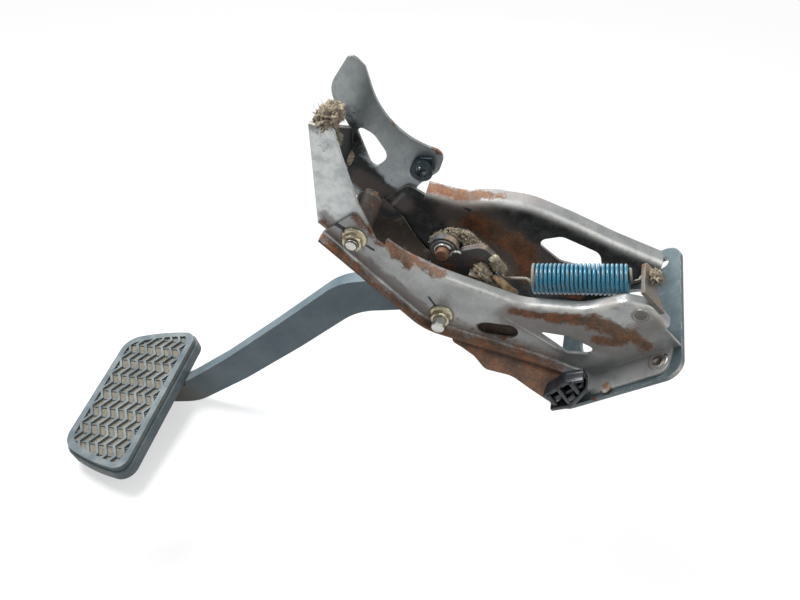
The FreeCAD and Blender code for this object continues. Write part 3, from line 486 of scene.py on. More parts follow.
def padRubber(name):
    # black rubber gone grey, with tan dirt in the wells of the tread. Heights are measured from
    # the top of the tread.
    coat = Coat(name, roughness=0.72, Sheen_Weight=0.12)
    cloud = coat.grain(42, 5, 0.62)
    speck = coat.grain(700, 5, 0.7)
    offset = coat.vector("SUBTRACT", coat.place, padMiddle)
    height = coat.vector("DOT_PRODUCT", offset, padNormal, output=1)
    colour = coat.mix(coat.ramp(cloud, 0.32, 0.7), padColours["dark"], padColours["light"])
    well = 1 - coat.ramp(height, -2.0 * mm, -0.9 * mm)
    below = 1 - coat.ramp(height, -3.0 * mm, -2.6 * mm)
    middle = 1 - coat.ramp(coat.distanceTo(padMiddle), 52 * mm, 72 * mm)
    earth = coat.mix(coat.ramp(speck, 0.3, 0.7), padColours["earth"], padColours["dryEarth"])
    caked = well * (1 - below) * middle * coat.ramp(cloud + speck * 0.4, 0.3, 0.6)
    colour = coat.mix(caked * 0.9, colour, earth)
    worn = coat.ramp(height, -0.4 * mm, 0.0) * coat.ramp(cloud + speck * 0.35, 0.5, 0.9)
    colour = coat.mix(worn * 0.45, colour, padColours["worn"])
    colour = coat.mix(coat.edges() * (1 - well) * 0.35, colour, padColours["edge"])
    sides = below * coat.ramp(cloud + speck * 0.5, 0.6, 1.0)
    colour = coat.mix(sides * 0.4, colour, padColours["side"])
    coat.set(Base_Color=colour, Roughness=0.6 + caked * 0.3)
    coat.bump(speck * (0.4 + caked), 0.16)
    return coat.material


enamelColours = {
    "dark": (0.014, 0.105, 0.175), "light": (0.035, 0.22, 0.33), "wornDark": (0.16, 0.13, 0.1),
    "wornLight": (0.3, 0.28, 0.25),
}


def springEnamel(name):
    # blue enamel, worn through to dull metal at the rear turns and at the front hook
    coat = Coat(name, roughness=0.3, metallic=0.15, Coat_Weight=0.3, Coat_Roughness=0.2)
    cloud = coat.grain(120, 4, 0.6)
    fine = coat.grain(1300, 3)
    rear = coat.near(fromAxle(17, 12, 50), 16, 0.5)
    front = coat.near(fromAxle(17, 53.5, 113), 14, 0.7)
    dusty = coat.ramp(coat.axis(2, coat.facing), 0.2, 0.95) * 0.16
    worn = coat.ramp(cloud + rear.atLeast(front) * 0.62 + dusty + (fine - 0.5) * 0.3, 0.62, 0.88)
    colour = coat.mix(coat.ramp(fine, 0.3, 0.7), enamelColours["dark"], enamelColours["light"])
    metal = coat.mix(fine, enamelColours["wornDark"], enamelColours["wornLight"])
    colour = coat.mix(worn, colour, metal)
    coat.set(Base_Color=colour, Roughness=0.28 + worn * 0.4, Coat_Weight=0.35 - worn * 0.3)
    coat.bump(fine, 0.05)
    return coat.material


def plainCoat(name, first, second, roughness, metallic=0.0, scale=200, rise=0.08):
    # one colour that wanders between two tones, with a fine grain
    coat = Coat(name, roughness=roughness, metallic=metallic)
    cloud = coat.grain(scale, 5, 0.65)
    colour = coat.mix(coat.ramp(cloud, 0.32, 0.68), first, second)
    coat.set(Base_Color=colour, Roughness=roughness - 0.06 + cloud * 0.12)
    coat.bump(coat.grain(scale * 5, 3), rise)
    return coat.material


finishes = {
    "rightPlate": sheetSteel("right plate steel", rightMarks),
    # the far plate's inner faces get painted shade with old oil
    "leftPlate": sheetSteel("left plate steel", leftMarks, innerShade=1.0),
    "rearBracket": sheetSteel("rear bracket steel", rearMarks, (0.4, 0.43, 0.43),
                              (0.26, 0.29, 0.3), rim=0.8),
    "mountPlate": sheetSteel("mount plate steel", mountMarks, steelBlue, (0.082, 0.113, 0.126),
                             rim=0.9),
    # near-black sheet for the piece behind the slot and the crescent on the far plate; behind the
    # slot it is painted shade
    "darkSheet": sheetSteel("oily inner sheet", rearMarks, (0.05, 0.033, 0.022),
                            (0.026, 0.018, 0.013), rim=0.2),
    "dimple": sheetSteel("dimple steel", rightMarks, (0.17, 0.165, 0.155), (0.11, 0.105, 0.1)),
    "zinc": platedSteel("yellow zinc", (0.62, 0.56, 0.4)),
    "whiteZinc": platedSteel("pale zinc", (0.72, 0.72, 0.68), 0.05),
    "tubeSteel": brownSteel("oily tube steel", (0.035, 0.026, 0.02), 0.5, 0.05),
    "leverSteel": brownSteel("lever plate steel", (0.06, 0.062, 0.064), 0.5, 0.3),
    "pinSteel": brownSteel("pin steel", (0.26, 0.12, 0.06), 0.8, 0.1),
    "tongueSteel": brownSteel("tongue steel", (0.12, 0.1, 0.08), 0.4, 0.4),
    "tabSteel": brownSteel("tab steel", (0.17, 0.16, 0.145), 0.4, 0.25),
    "arm": armPaint("arm paint"),
    "rubber": padRubber("pad rubber"),
    "enamel": springEnamel("blue enamel"),
    # the far lever plate: dark paint, taken down to near black as painted shade
    "discSteel": plainCoat("darkPaintAndShade disc", (0.006, 0.008, 0.012), (0.02, 0.026, 0.034), 0.38, 0.2),
    "nylon": plainCoat("bush nylon", (0.5, 0.48, 0.4), (0.62, 0.6, 0.53), 0.45),
    "plastic": plainCoat("black clip plastic", (0.006, 0.008, 0.011), (0.022, 0.028, 0.034), 0.3),
    "fluff": plainCoat("dirt fluff", (0.2, 0.165, 0.12), (0.5, 0.42, 0.31), 0.95, 0, 900, 0.5),
    "mud": plainCoat("dried mud", (0.3, 0.18, 0.09), (0.52, 0.38, 0.23), 0.85, 0, 260, 0.3),
    "paleMud": plainCoat("pale mud", (0.42, 0.38, 0.26), (0.66, 0.62, 0.46), 0.9, 0, 500, 0.3),
    "darkSteel": plainCoat("weld nut steel", (0.022, 0.034, 0.042), (0.06, 0.085, 0.1), 0.34, 0.5),
}
print("materials made:", len(finishes))

nodeFinish = {
    "mount_plate": "mountPlate", "right_side_plate": "rightPlate", "left_side_plate": "leftPlate",
    "rear_bracket": "rearBracket", "rear_weld_nut": "darkSteel", "rear_bolt": "tubeSteel",
    "rear_nut": "zinc", "pivot_bolt": "whiteZinc", "pivot_nut": "zinc",
    "rear_spacer_tube": "tubeSteel", "pivot_collar": "tubeSteel", "boss_tube": "tubeSteel",
    "pivot_bush_right": "nylon", "pivot_bush_left": "nylon", "lever_plate_right": "leverSteel",
    "lever_plate_left": "discSteel", "spring_tongue": "tongueSteel", "clevis_pin": "pinSteel",
    "pin_clip": "whiteZinc", "pedal_arm": "arm", "pad_plate": "arm", "pad_cover": "rubber",
    "spring_tab": "tabSteel", "return_spring": "enamel", "wiring_clip": "plastic",
}
for name, node in nodes.items():
    node.data.materials.clear()
    node.data.materials.append(finishes[nodeFinish[name]])
print("nodes finished:", len(nodes))


# Pieces

def newPiece(name, mesh, finish, body=None, smooth=True):
    # an object with its finish, which rides on a body where one is given
    piece = bpy.data.objects.new(name, mesh)
    bpy.context.scene.collection.objects.link(piece)
    mesh.materials.append(finishes[finish])
    for face in mesh.polygons:
        face.use_smooth = smooth
    if body:
        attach(piece, body)
    return piece


def meshFrom(name, points, faces):
    mesh = bpy.data.meshes.new(name)
    mesh.from_pydata([tuple(point) for point in points], [], faces)
    mesh.update()
    return mesh


def ringFaces(rings, sides, capped=True, closed=False):
    # the faces between rings of points. capped closes the two ends, closed joins the last ring
    # to the first.
    faces = []
    for ring in range(rings if closed else rings - 1):
        here = ring * sides
        there = (ring + 1) % rings * sides
        for side in range(sides):
            after = (side + 1) % sides
            faces.append((here + side, here + after, there + after, there + side))
    if capped:
        faces.append(tuple(range(sides))[::-1])
        faces.append(tuple(range((rings - 1) * sides, rings * sides)))
    return faces


def flipped(faces):
    # the same faces seen from the other side, each from the same first corner
    return [(face[0], *face[:0:-1]) for face in faces]


def rodMesh(name, path, radius, sides):
    # a round rod along a path, its rings carried along without twisting
    points = []
    across = None
    for index, spot in enumerate(path):
        before = path[max(index - 1, 0)]
        after = path[min(index + 1, len(path) - 1)]
        along = (after - before).normalized()
        if across is None:
            across = along.orthogonal().normalized()
        across = (across - along * across.dot(along)).normalized()
        upward = along.cross(across)
        for side in range(sides):
            turn = 2 * math.pi * side / sides
            points.append(spot + (across * math.cos(turn) + upward * math.sin(turn)) * radius)
    return meshFrom(name, points, ringFaces(len(path), sides))


def turnedMesh(name, profile, middle, axis=Vector((1, 0, 0)), steps=48):
    # a profile of (distance along the axis, radius) in millimetres, turned about the axis
    side = axis.orthogonal().normalized()
    upward = axis.cross(side)
    points = []
    for along, radius in profile:
        for step in range(steps):
            turn = 2 * math.pi * step / steps
            reach = (side * math.cos(turn) + upward * math.sin(turn)) * radius * mm
            points.append(middle + axis * along * mm + reach)
    return meshFrom(name, points, flipped(ringFaces(len(profile), steps)))


# The return spring: round wire wound in close turns, with a hook at each end

spring = {
    # lengths in millimetres. rearHook and frontHook are how far the coil stays off its holds,
    # loopTurn is in radians.
    "tongue": fromAxle(17, 6, 38), "tab": fromAxle(17, 53.5, 113), "wire": 1.0, "mean": 8.6,
    "turns": 23, "steps": 26, "rearHook": 21.0, "frontHook": 8.8, "lead": 3.0,
    "loop": 4.2, "loopTurn": 4.2, "loopSteps": 16, "sides": 10,
    # the end turns open from this share of the mean radius, at this rate
    "endMean": 0.25, "opening": 1.6,
}


def hookLoop(middle, axis, side, start, end):
    # part of a circle in the plane of the axis and a side
    radius = spring["loop"] * mm
    steps = spring["loopSteps"]
    spots = []
    for step in range(steps + 1):
        turn = start + (end - start) * step / steps
        spots.append(middle + axis * math.cos(turn) * radius + side * math.sin(turn) * radius)
    return spots


def springPath():
    axis = (spring["tab"] - spring["tongue"]).normalized()
    side = Vector((1, 0, 0))
    upward = axis.cross(side)
    coilStart = spring["tongue"] + axis * spring["rearHook"] * mm
    coilEnd = spring["tab"] - axis * spring["frontHook"] * mm
    path = hookLoop(spring["tongue"], axis, side, -spring["loopTurn"], 0)
    path.append(spring["tongue"] + axis * (spring["rearHook"] - spring["lead"]) * mm)
    steps = spring["steps"] * spring["turns"]
    for step in range(steps + 1):
        share = step / steps
        turn = 2 * math.pi * spring["turns"] * share
        opened = min(1, min(share, 1 - share) * spring["turns"] * spring["opening"])
        mean = spring["mean"] * mm * (spring["endMean"] + (1 - spring["endMean"]) * opened)
        reach = side * math.cos(turn) * mean + upward * math.sin(turn) * mean
        path.append(coilStart.lerp(coilEnd, share) + reach)
    path += hookLoop(spring["tab"], -axis, -side, 0, spring["loopTurn"])
    return path, coilStart, coilEnd


def makeSpring():
    path, coilStart, coilEnd = springPath()
    mesh = rodMesh("returnSpringWire", path, spring["wire"] * mm, spring["sides"])
    piece = newPiece("returnSpringWire", mesh, "enamel")
    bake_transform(piece)
    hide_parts("return_spring")


makeSpring()
print("spring wound")

# Flange nuts with chamfered corners, and threads on the bolt ends

nut = {
    # lengths in millimetres, corner and top as shares of the hexagon's radius
    "flange": [(0, 0), (0, 8.2), (0.9, 8.2), (1.9, 7.1), (2.0, 0)],
    "across": 12.0, "foot": 0.5, "height": 5.5, "chamfer": 0.9, "corner": 0.93, "top": 0.86,
    "pitch": 1.25, "crest": 4.16, "root": 3.9, "core": 3.2, "tip": 3.3, "gap": 0.25,
}


def hexMesh(name, middle, spin):
    # rings of twelve points: the rounded hexagon twice, its chamfered top, then the bore
    radius = nut["across"] / math.sqrt(3)
    corner = radius * nut["corner"]
    flat = radius * math.cos(math.pi / 6)
    top = radius * nut["top"]
    bore = nut["crest"] + nut["gap"]
    rings = [
        (nut["foot"], corner, flat), (nut["height"] - nut["chamfer"], corner, flat),
        (nut["height"], top, top), (nut["height"], bore, bore), (nut["foot"], bore, bore),
    ]
    points = []
    for along, *reaches in rings:
        for step in range(12):
            turn = spin + math.pi / 6 * step
            reach = reaches[step % 2]
            points.append(middle + Vector((along, math.cos(turn) * reach,
                                           math.sin(turn) * reach)) * mm)
    return meshFrom(name, points, ringFaces(len(rings), 12, capped=False))


def makeNut(node, place, spin, tip):
    flange = turnedMesh(node + "Flange", nut["flange"], place)
    washer = newPiece(node + "Flange", flange, "zinc", "bracket")
    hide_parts(node)
    hexagon = hexMesh(node + "Hex", place, spin)
    newPiece(node + "Hex", hexagon, "zinc", "bracket", smooth=False)
    profile = [(nut["height"] - 1.2, nut["core"])]
    along = nut["height"] - 1
    while along < tip - 0.8:
        profile += [(along, nut["root"]), (along + nut["pitch"] / 2, nut["crest"])]
        along += nut["pitch"]
    profile += [(tip - 0.5, nut["root"]), (tip + 0.05, nut["tip"])]
    thread = turnedMesh(node + "Thread", profile, place, steps=36)
    newPiece(node + "Thread", thread, "whiteZinc", "bracket")


nutPlaces = {
    # the foot of each nut, its turn in radians and how far its bolt stands out
    "rear_nut": (fromAxle(35, -78, 1), 0.35, 7.5),
    "pivot_nut": (fromAxle(35, 0, 0), 0.1, 12.0),
}
for node, (place, spin, tip) in nutPlaces.items():
    makeNut(node, place, spin, tip)
print("nuts and threads made")

# Clips, embossings, welds and dirt

weld = {
    # radii in millimetres, swell as a share of the bead's radius
    "radius": 12.3, "bead": 1.5, "lumps": 26, "swell": 0.21, "rings": 96, "sides": 8,
    # where each bead lies along X, and its finish
    "beads": {
        "weldBeadRight": (12.2, "leverSteel"), "weldBeadLeft": (-12.2, "leverSteel"),
        "weldBeadOuter": (17.8, "leverSteel"), "armWeldRight": (5.6, "arm"),
        "armWeldLeft": (-5.6, "arm"),
    },
}


def beadMesh(name, x):
    # a lumpy weld bead round the hub
    rings, sides = weld["rings"], weld["sides"]
    points = []
    for ring in range(rings):
        turn = 2 * math.pi * ring / rings
        outward = Vector((0, math.cos(turn), math.sin(turn)))
        swell = 1 + weld["swell"] * math.sin(turn * weld["lumps"])
        spot = fromAxle(x, 0, 0) + outward * weld["radius"] * mm
        for side in range(sides):
            angle = 2 * math.pi * side / sides
            reach = outward * math.sin(angle) + Vector((1, 0, 0)) * math.cos(angle)
            points.append(spot + reach * weld["bead"] * swell * mm)
    return meshFrom(name, points, flipped(ringFaces(rings, sides, capped=False, closed=True)))


for name, (x, finish) in weld["beads"].items():
    newPiece(name, beadMesh(name, x), finish, "pedal")

flatPieceBevel = 0.4
flatPieces = {
    # outlines in side view with the left and right face, all in millimetres, and the finish
    # a near-black crescent sheet against the far plate's inner face, below the axle
    "farDoubler": ([(-60, -18), (-59, -38), (-47, -49), (-29, -52), (-10, -50), (9, -41),
                    (18, -32), (0, -26), (-20, -24), (-40, -18)], -33.0, -31.6, "darkSheet"),
    # a near-black sheet just behind the near web's slot: painted shade seen through the slot
    "slotDoubler": ([(14, 12), (22, 1), (44, 22), (50, 34), (40, 40), (24, 27)],
                    31.2, 33.0, "darkSheet"),
    "weldNutSquare": ([(-69, 27), (-64, 33), (-56, 27), (-61, 19)], -35.0, -32.2, "darkSteel"),
}


def prismMesh(name, outline, left, right, bevel):
    # an outline in side view, from one X to another in millimetres, with rounded edges
    build = bmesh.new()
    floor = [build.verts.new(fromAxle(left, y, z)) for y, z in outline]
    roof = [build.verts.new(fromAxle(right, y, z)) for y, z in outline]
    build.faces.new(floor)
    build.faces.new(roof[::-1])
    for index in range(len(outline)):
        after = (index + 1) % len(outline)
        build.faces.new((floor[index], roof[index], roof[after], floor[after]))
    bmesh.ops.recalc_face_normals(build, faces=build.faces)
    bmesh.ops.bevel(build, geom=list(build.edges), offset=bevel * mm, segments=3, affect="EDGES",
                    profile=0.5)
    mesh = bpy.data.meshes.new(name)
    build.to_mesh(mesh)
    build.free()
    return mesh


for name, (outline, left, right, finish) in flatPieces.items():
    mesh = prismMesh(name, outline, left, right, flatPieceBevel)
    newPiece(name, mesh, finish, "bracket", smooth=False)

crease = {
    "start": fromAxle(34.3, 15, 31), "end": fromAxle(34.3, 73, 46), "radius": 1.3, "steps": 24,
    "sides": 16, "taper": 6,
}


def makeCrease():
    # a pressed ridge across the near web, tapering out at both ends
    steps = crease["steps"]
    spots = [crease["start"].lerp(crease["end"], step / steps) for step in range(steps + 1)]
    mesh = rodMesh("plateCrease", spots, crease["radius"] * mm, crease["sides"])
    for index, vertex in enumerate(mesh.vertices):
        share = index // crease["sides"] / steps
        taper = min(1, crease["taper"] * min(share, 1 - share))
        vertex.co.x -= (1 - taper) * crease["radius"] * mm
    newPiece("plateCrease", mesh, "rightPlate", "bracket")


makeCrease()

pinWasher = {
    "middle": fromAxle(17.0, -31, 26),
    "profile": [(0, 4.2), (0, 7.2), (0.3, 7.6), (0.9, 7.6), (1.1, 7.2), (1.1, 4.2)],
}
mesh = turnedMesh("pinWasher", pinWasher["profile"], pinWasher["middle"])
newPiece("pinWasher", mesh, "leverSteel", "pedal")

ringClip = {
    # lengths in millimetres, start and gap in radians
    "middle": fromAxle(18.4, -31, 26), "radius": 5.0, "wire": 0.75, "start": 0.8, "gap": 0.5,
    "steps": 40, "tail": [(0, 2, 3.5), (0, 2.2, 1)],
}


def makeRingClip():
    # an open ring of wire whose end is bent out
    spots = []
    for step in range(ringClip["steps"] + 1):
        share = step / ringClip["steps"]
        turn = ringClip["start"] + ringClip["gap"] + (2 * math.pi - ringClip["gap"]) * share
        spots.append(ringClip["middle"] + Vector((0, math.cos(turn), math.sin(turn)))
                     * ringClip["radius"] * mm)
    for bend in ringClip["tail"]:
        spots.append(spots[-1] + Vector(bend) * mm)
    mesh = rodMesh("pinRingClip", spots, ringClip["wire"] * mm, 10)
    piece = newPiece("pinRingClip", mesh, "whiteZinc", "pedal")
    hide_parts("pin_clip")


makeRingClip()

tongue = {
    # y and z from the axle, with half the width there, all in millimetres
    "line": [(-9, 28.5, 3.0), (-4, 31.5, 3.0), (1, 34, 3.0), (6, 36.2, 3.0), (11, 38.2, 3.0),
             (16, 40.2, 3.0), (19, 41.4, 2.6), (20.8, 42.1, 1.9), (21.6, 42.4, 0.9)],
    "middle": 20.0, "half": 1.1, "sides": 24,
    # the lower these powers, the squarer the section
    "flatPower": 0.35, "tallPower": 0.6,
}


def squared(wave, power):
    # a sine or cosine made flatter, with its sign kept
    return math.copysign(abs(wave) ** power, wave)


def makeTongue():
    # the strip that the spring hooks on, flat with rounded sides and a rounded end
    points = []
    sides = tongue["sides"]
    line = tongue["line"]
    for index, (y, z, wide) in enumerate(line):
        before = line[max(index - 1, 0)]
        after = line[min(index + 1, len(line) - 1)]
        along = Vector((0, after[0] - before[0], after[1] - before[1])).normalized()
        upright = Vector((1, 0, 0)).cross(along)
        for side in range(sides):
            turn = 2 * math.pi * side / sides
            flat = squared(math.cos(turn), tongue["flatPower"]) * wide
            tall = squared(math.sin(turn), tongue["tallPower"]) * tongue["half"]
            points.append(fromAxle(tongue["middle"] + flat, y, z) + upright * tall * mm)
    faces = ringFaces(len(line), sides)
    piece = newPiece("tongueStrip", meshFrom("tongueStrip", points, faces), "tongueSteel",
                     "pedal")
    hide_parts("spring_tongue")


makeTongue()

embossings = {
    # the middle, the way it stands out, the finish and the profile of each
    "plateCircle": (fromAxle(34.9, 61.2, 104.2), Vector((1, 0, 0)), "dimple",
                    [(0, 5.6), (0.6, 5.0), (0.65, 4.4), (0.3, 3.8), (0.25, 0.4)]),
    "flangeDimple": (fromAxle(42.2, 94.1, 94.9), Vector((0, -1, 0)), "dimple",
                     [(0, 6.0), (0.5, 5.5), (0.8, 4.9), (0.2, 4.0), (-0.4, 1.0)]),
    "weldSpot": (fromAxle(50.5, 94.1, 60), Vector((0, -1, 0)), "rightPlate",
                 [(0, 4.0), (0.5, 3.4), (0.8, 2.0), (0.9, 0.4)]),
}
for name, (middle, axis, finish, profile) in embossings.items():
    mesh = turnedMesh(name, profile, middle, axis)
    newPiece(name, mesh, finish, "bracket")

lump = {
    # scale, then Hurst exponent, lacunarity and octaves of the coarse and the fine noise
    "coarse": (2.3, 0.8, 2.1, 5), "fine": (11, 0.9, 2.0, 3), "rough": 0.45, "fuzz": 0.12,
    "subdivisions": 5,
}


def lumpMesh(name, middle, sizes, seed, rough=lump["rough"]):
    # a ball of packed dirt: an icosphere pushed in and out by noise
    coarse, *coarseNoise = lump["coarse"]
    fine, *fineNoise = lump["fine"]
    build = bmesh.new()
    bmesh.ops.create_icosphere(build, subdivisions=lump["subdivisions"], radius=1.0)
    for vertex in build.verts:
        way = vertex.co.normalized()
        push = noise.fractal(way * coarse + Vector((seed, 0, 0)), *coarseNoise)
        fuzz = noise.fractal(way * fine + Vector((0, seed, 0)), *fineNoise)
        reach = 1 + rough * push + lump["fuzz"] * fuzz
        vertex.co = middle + Vector(way[i] * sizes[i] * mm * reach for i in range(3))
    mesh = bpy.data.meshes.new(name)
    build.to_mesh(mesh)
    build.free()
    return mesh


dirt = {
    # middle, half sizes in millimetres, body, seed and number of fibres
    "fluffRear": (fromAxle(24, -140, 45), (9, 6, 8.5), "bracket", 3, 620),
    "fluffRearTop": (fromAxle(16, -137, 41), (7, 5, 6), "bracket", 21, 300),
    "fluffRearLow": (fromAxle(28, -131, 37), (4, 5, 8), "bracket", 8, 260),
    "fluffWall": (fromAxle(-24, -99, -7), (8, 2.4, 2.2), "bracket", 31, 90),
    "fluffDiscA": (fromAxle(-14.5, -21, 4), (3.6, 4.5, 7), "pedal", 5, 130),
    "fluffDiscB": (fromAxle(-14.5, -17.5, 13), (4, 6.5, 6), "pedal", 11, 200),
    "fluffDiscC": (fromAxle(-14.5, -9, 20), (4, 7.5, 4.6), "pedal", 14, 260),
    "fluffDiscD": (fromAxle(-14.5, 2, 22), (3.4, 7, 3.4), "pedal", 17, 150),
    "fluffHead": (fromAxle(17.5, -2, 46), (2.8, 6, 3.6), "pedal", 19, 110),
    "fluffTongue": (fromAxle(19.5, -4, 36.5), (4.4, 7.5, 3.6), "pedal", 24, 90),
    "fluffTab": (fromAxle(18, 53, 119.5), (4.5, 5, 2.6), "bracket", 27, 120),
}
for name, (middle, sizes, body, seed, count) in dirt.items():
    newPiece(name, lumpMesh(name, middle, sizes, seed), "fluff", body)

mudCakes = {
    # middle, half sizes in millimetres, seed, roughness and finish
    "tongueMud": (fromAxle(20.4, 12, 40.2), (3.4, 11, 2.4), 41, 0.1, "mud"),
    "headMud": (fromAxle(17.4, -8, 47.5), (1.8, 2.6, 3.4), 47, 0.3, "paleMud"),
}
for name, (middle, sizes, seed, rough, finish) in mudCakes.items():
    mesh = lumpMesh(name, middle, sizes, seed, rough)
    newPiece(name, mesh, finish, "pedal")

fibre = {
    # lengths in millimetres. root is the share of the lump's size at which a fibre starts, knee
    # and kneeBend are the shares of its length and of its bend at its middle point.
    "shortest": 0.8, "longest": 2.8, "radius": 0.09, "bend": 1.2, "root": 0.75, "knee": 0.6,
    "kneeBend": 0.4,
}


def fibreMesh(name, middle, sizes, count, seed):
    # loose three-sided fibres that stick out of the packed dirt
    chance = random.Random(seed)
    points = []
    faces = []
    for _ in range(count):
        way = Vector((chance.gauss(0, 1), chance.gauss(0, 1), chance.gauss(0, 1))).normalized()
        spot = middle + Vector(way[i] * sizes[i] * mm * fibre["root"] for i in range(3))
        bend = Vector((chance.gauss(0, 1), chance.gauss(0, 1), chance.gauss(0, 1)))
        bend *= fibre["bend"] * mm
        length = chance.uniform(fibre["shortest"], fibre["longest"]) * mm
        wide = way.orthogonal().normalized() * fibre["radius"] * mm
        knee = spot + way * length * fibre["knee"] + bend * fibre["kneeBend"]
        base = len(points)
        for place in (spot, knee, spot + way * length + bend):
            for side in range(3):
                turned = Matrix.Rotation(2 * math.pi * side / 3, 3, way) @ wide
                points.append(place + turned)
        for face in ringFaces(3, 3, capped=False):
            faces.append(tuple(base + corner for corner in face))
    return meshFrom(name, points, faces)


for name, (middle, sizes, body, seed, count) in dirt.items():
    mesh = fibreMesh(name + "Fibres", middle, sizes, count, seed)
    newPiece(name + "Fibres", mesh, "fluff", body)
print("welds, embossings and dirt made")

# The moulded wiring clip on the front end of the plate's hem: a base and raised parts, in
# side view

clip = {
    "outline": [(78, 24), (92, 21), (94.5, 35), (84, 54), (75, 57), (72, 45)],
    "left": 47.0, "thick": 4.0, "partsLeft": 50.0, "bevel": 1.0,
}
mesh = prismMesh("clipBody", clip["outline"], clip["left"], clip["left"] + clip["thick"],
                 clip["bevel"])
base = newPiece("clipBody", mesh, "plastic", "bracket")
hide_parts("wiring_clip")
clipParts = {
    # each part's outline, its near face and its bevel
    "clipRailRear": ([(78, 24), (81, 23.6), (75, 45), (77, 56), (75, 57), (72, 45)], 56.5, 0.6),
    "clipRailFront": ([(89, 21.6), (92, 21), (94.5, 35), (84, 54), (81, 54.8), (91, 35)], 58.5, 0.6),
    "clipFinLow": ([(79, 26), (92, 23.5), (92.5, 27), (78, 29.5)], 57.5, 0.5),
    "clipFinMiddle": ([(75, 37), (92, 34), (91.5, 37), (74, 40)], 58.0, 0.5),
    "clipFinHigh": ([(74, 47), (88, 45), (86, 48.5), (74, 50.5)], 57.5, 0.5),
    "clipLatch": ([(83, 25), (86, 25), (82, 53), (79, 53)], 56.0, 0.7),
    "clipBoss": ([(85, 38), (89, 37.5), (86.5, 44), (82.5, 44.5)], 58.5, 0.9),
}
for name, (outline, near, bevel) in clipParts.items():
    mesh = prismMesh(name, outline, clip["partsLeft"], near, bevel)
    newPiece(name, mesh, "plastic", "bracket")
print("wiring clip made")

# Floor, light and camera

view = {
    # the camera fitted to the photo, its lens and sensor in millimetres
    "place": Vector((0.3226, -0.3119, 0.2171)), "right": Vector((-0.239, 0.697, 0.676)),
    "down": Vector((0.737, 0.583, -0.342)), "forward": Vector((-0.633, 0.416, -0.653)),
    "lens": 31.98, "sensor": 36.0,
}
forward = view["forward"].normalized()
right = (view["right"] - forward * view["right"].dot(forward)).normalized()
upward = right.cross(forward)


def makeCamera():
    lens = bpy.data.cameras.new("camera")
    lens.lens = view["lens"]
    lens.sensor_width = view["sensor"]
    lens.clip_start = 0.01
    camera = bpy.data.objects.new("camera", lens)
    turn = Matrix((right, upward, -forward)).transposed().to_4x4()
    camera.matrix_world = Matrix.Translation(view["place"]) @ turn
    bpy.context.scene.collection.objects.link(camera)
    bpy.context.scene.camera = camera


floor = {
    # pitch and travel in degrees, half and patch in metres, gaps in millimetres, fade in shares
    # of the patch
    "pitch": 42.0, "travel": 22.0, "half": 5.6, "patch": 0.15, "fade": (0.55, 0.98), "gap": 2.0,
    "patchGap": 0.5,
    # the paper's white, the share of it that glows, and its grey in bounced light
    "white": (0.93, 0.935, 0.94), "lift": 0.92, "patchLift": 0.55, "bounce": 0.4,
}


def floorPaper(name, spot=None):
    # white paper that glows for the camera. With a spot it fades out round that and throws
    # no shadow.
    coat = Coat(name, roughness=0.9)
    tree = coat.tree
    path = tree.nodes.new("ShaderNodeLightPath")
    glow = tree.nodes.new("ShaderNodeEmission")
    mixed = tree.nodes.new("ShaderNodeMixShader")
    through = tree.nodes.new("ShaderNodeMixShader")
    clear = tree.nodes.new("ShaderNodeBsdfTransparent")
    hidden = coat.node("ShaderNodeNewGeometry", output="Backfacing")
    seen = Wire(coat, path.outputs["Is Camera Ray"])
    gloss = Wire(coat, path.outputs["Is Glossy Ray"])
    passed = Wire(coat, path.outputs["Is Transmission Ray"])
    if spot:
        shadow = Wire(coat, path.outputs["Is Shadow Ray"])
        inner, outer = (floor["patch"] * share for share in floor["fade"])
        faded = coat.ramp(coat.distanceTo(spot), inner, outer)
        hidden = hidden.atLeast(shadow).atLeast(faded)
    coat.set(Base_Color=coat.mix(seen, (floor["bounce"],) * 3, floor["white"]))
    lift = floor["patchLift"] if spot else floor["lift"]
    coat.feed(mixed.inputs[0], (seen + gloss + passed).clamped() * lift)
    tree.links.new(coat.shader.outputs[0], mixed.inputs[1])
    tree.links.new(glow.outputs[0], mixed.inputs[2])
    coat.feed(through.inputs[0], hidden)
    tree.links.new(mixed.outputs[0], through.inputs[1])
    tree.links.new(clear.outputs[0], through.inputs[2])
    output = next(node for node in tree.nodes if node.type == "OUTPUT_MATERIAL")
    tree.links.new(through.outputs[0], output.inputs[0])
    return coat.material


def layPaper(name, middle, normal, half, finish, sides=4):
    # a flat sheet with so many corners
    across = normal.cross(right).normalized()
    corners = []
    for side in range(sides):
        turn = 2 * math.pi * (side + 0.5) / sides
        corners.append(middle + (right * math.cos(turn) + across * math.sin(turn)) * half)
    mesh = meshFrom(name, corners, [tuple(range(sides))])
    if mesh.polygons[0].normal.dot(normal) < 0:
        mesh.flip_normals()
    mesh.materials.append(finish)
    piece = bpy.data.objects.new(name, mesh)
    bpy.context.scene.collection.objects.link(piece)
    return piece


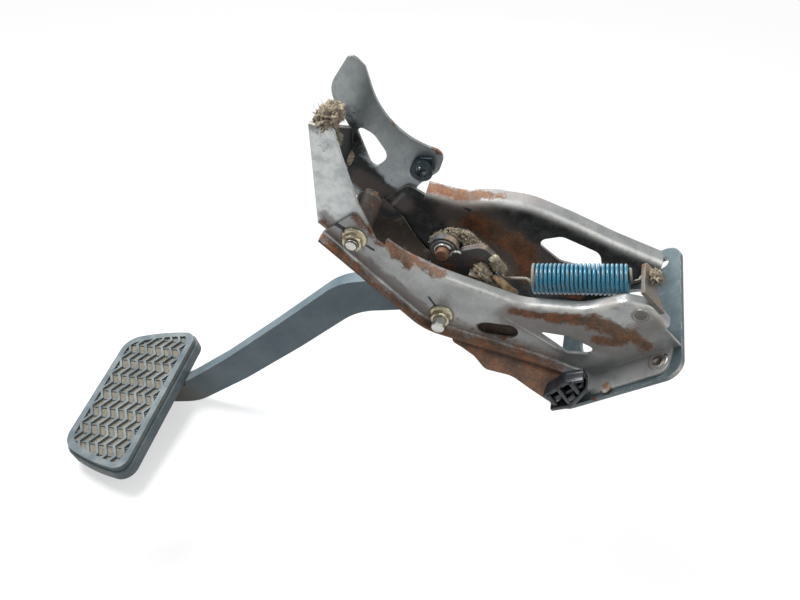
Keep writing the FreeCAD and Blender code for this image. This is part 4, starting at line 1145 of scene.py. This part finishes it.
def makeFloor():
    # The object lies on the pad's corner, so the floor is tilted to the frame. It clears the
    # pressed pedal, and a patch that rides with the pedal takes the pad's shadow.
    pitch = math.radians(floor["pitch"])
    normal = (upward * math.cos(pitch) - forward * math.sin(pitch)).normalized()
    resting = [vertex.co for node in nodes.values() for vertex in node.data.vertices]
    contact = min(resting, key=normal.dot)
    pressed = Matrix.Rotation(math.radians(floor["travel"]), 3, "X")
    lowest = min(min((axle + pressed @ (spot - axle)).dot(normal) for spot in resting),
                 contact.dot(normal))
    middle = sum(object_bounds(), Vector()) / 2
    middle -= normal * (middle.dot(normal) - lowest + floor["gap"] * mm)
    layPaper("floor", middle, normal, floor["half"], floorPaper("floor paper"))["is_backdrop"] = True
    middle = contact - normal * floor["patchGap"] * mm
    patch = layPaper("floorPatch", middle, normal, floor["patch"],
                     floorPaper("patch paper", middle), 48)
    patch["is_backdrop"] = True
    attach(patch, "pedal")


sky = {"tint": (0.95, 0.975, 1, 1), "strength": 0.42}


def makeWorld():
    # a soft cool light on the object. The camera sees pale grey beyond the floor.
    world = bpy.data.worlds.new("studio")
    world.use_nodes = True
    bpy.context.scene.world = world
    tree = world.node_tree
    tree.nodes.clear()
    path = tree.nodes.new("ShaderNodeLightPath")
    soft = tree.nodes.new("ShaderNodeBackground")
    soft.inputs[0].default_value = sky["tint"]
    soft.inputs[1].default_value = sky["strength"]
    backdrop = tree.nodes.new("ShaderNodeBackground")
    mixed = tree.nodes.new("ShaderNodeMixShader")
    output = tree.nodes.new("ShaderNodeOutputWorld")
    tree.links.new(path.outputs["Is Camera Ray"], mixed.inputs[0])
    tree.links.new(soft.outputs[0], mixed.inputs[1])
    tree.links.new(backdrop.outputs[0], mixed.inputs[2])
    tree.links.new(mixed.outputs[0], output.inputs[0])


lamps = {
    # offsets from the object's middle in the camera's right, up and back, then size and watts
    "key": ((-0.45, 1.0, 0.5), 0.5, 22.0),
    "fill": ((0.9, 0.35, 0.8), 0.9, 5.0),
    "rim": ((0.1, 0.9, -0.5), 0.6, 6.0),
}


def makeLamps():
    middle = sum(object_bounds(), Vector()) / 2
    for name, (offset, size, watts) in lamps.items():
        light = bpy.data.lights.new(name, "AREA")
        light.size = size
        light.energy = watts
        lamp = bpy.data.objects.new(name, light)
        place = middle + right * offset[0] + upward * offset[1] - forward * offset[2]
        aim = (middle - place).to_track_quat("-Z", "Y")
        lamp.matrix_world = Matrix.Translation(place) @ aim.to_matrix().to_4x4()
        bpy.context.scene.collection.objects.link(lamp)


makeCamera()
makeFloor()
makeWorld()
makeLamps()
bpy.context.scene.view_settings.view_transform = "Standard"
print("floor, lamps and camera set")
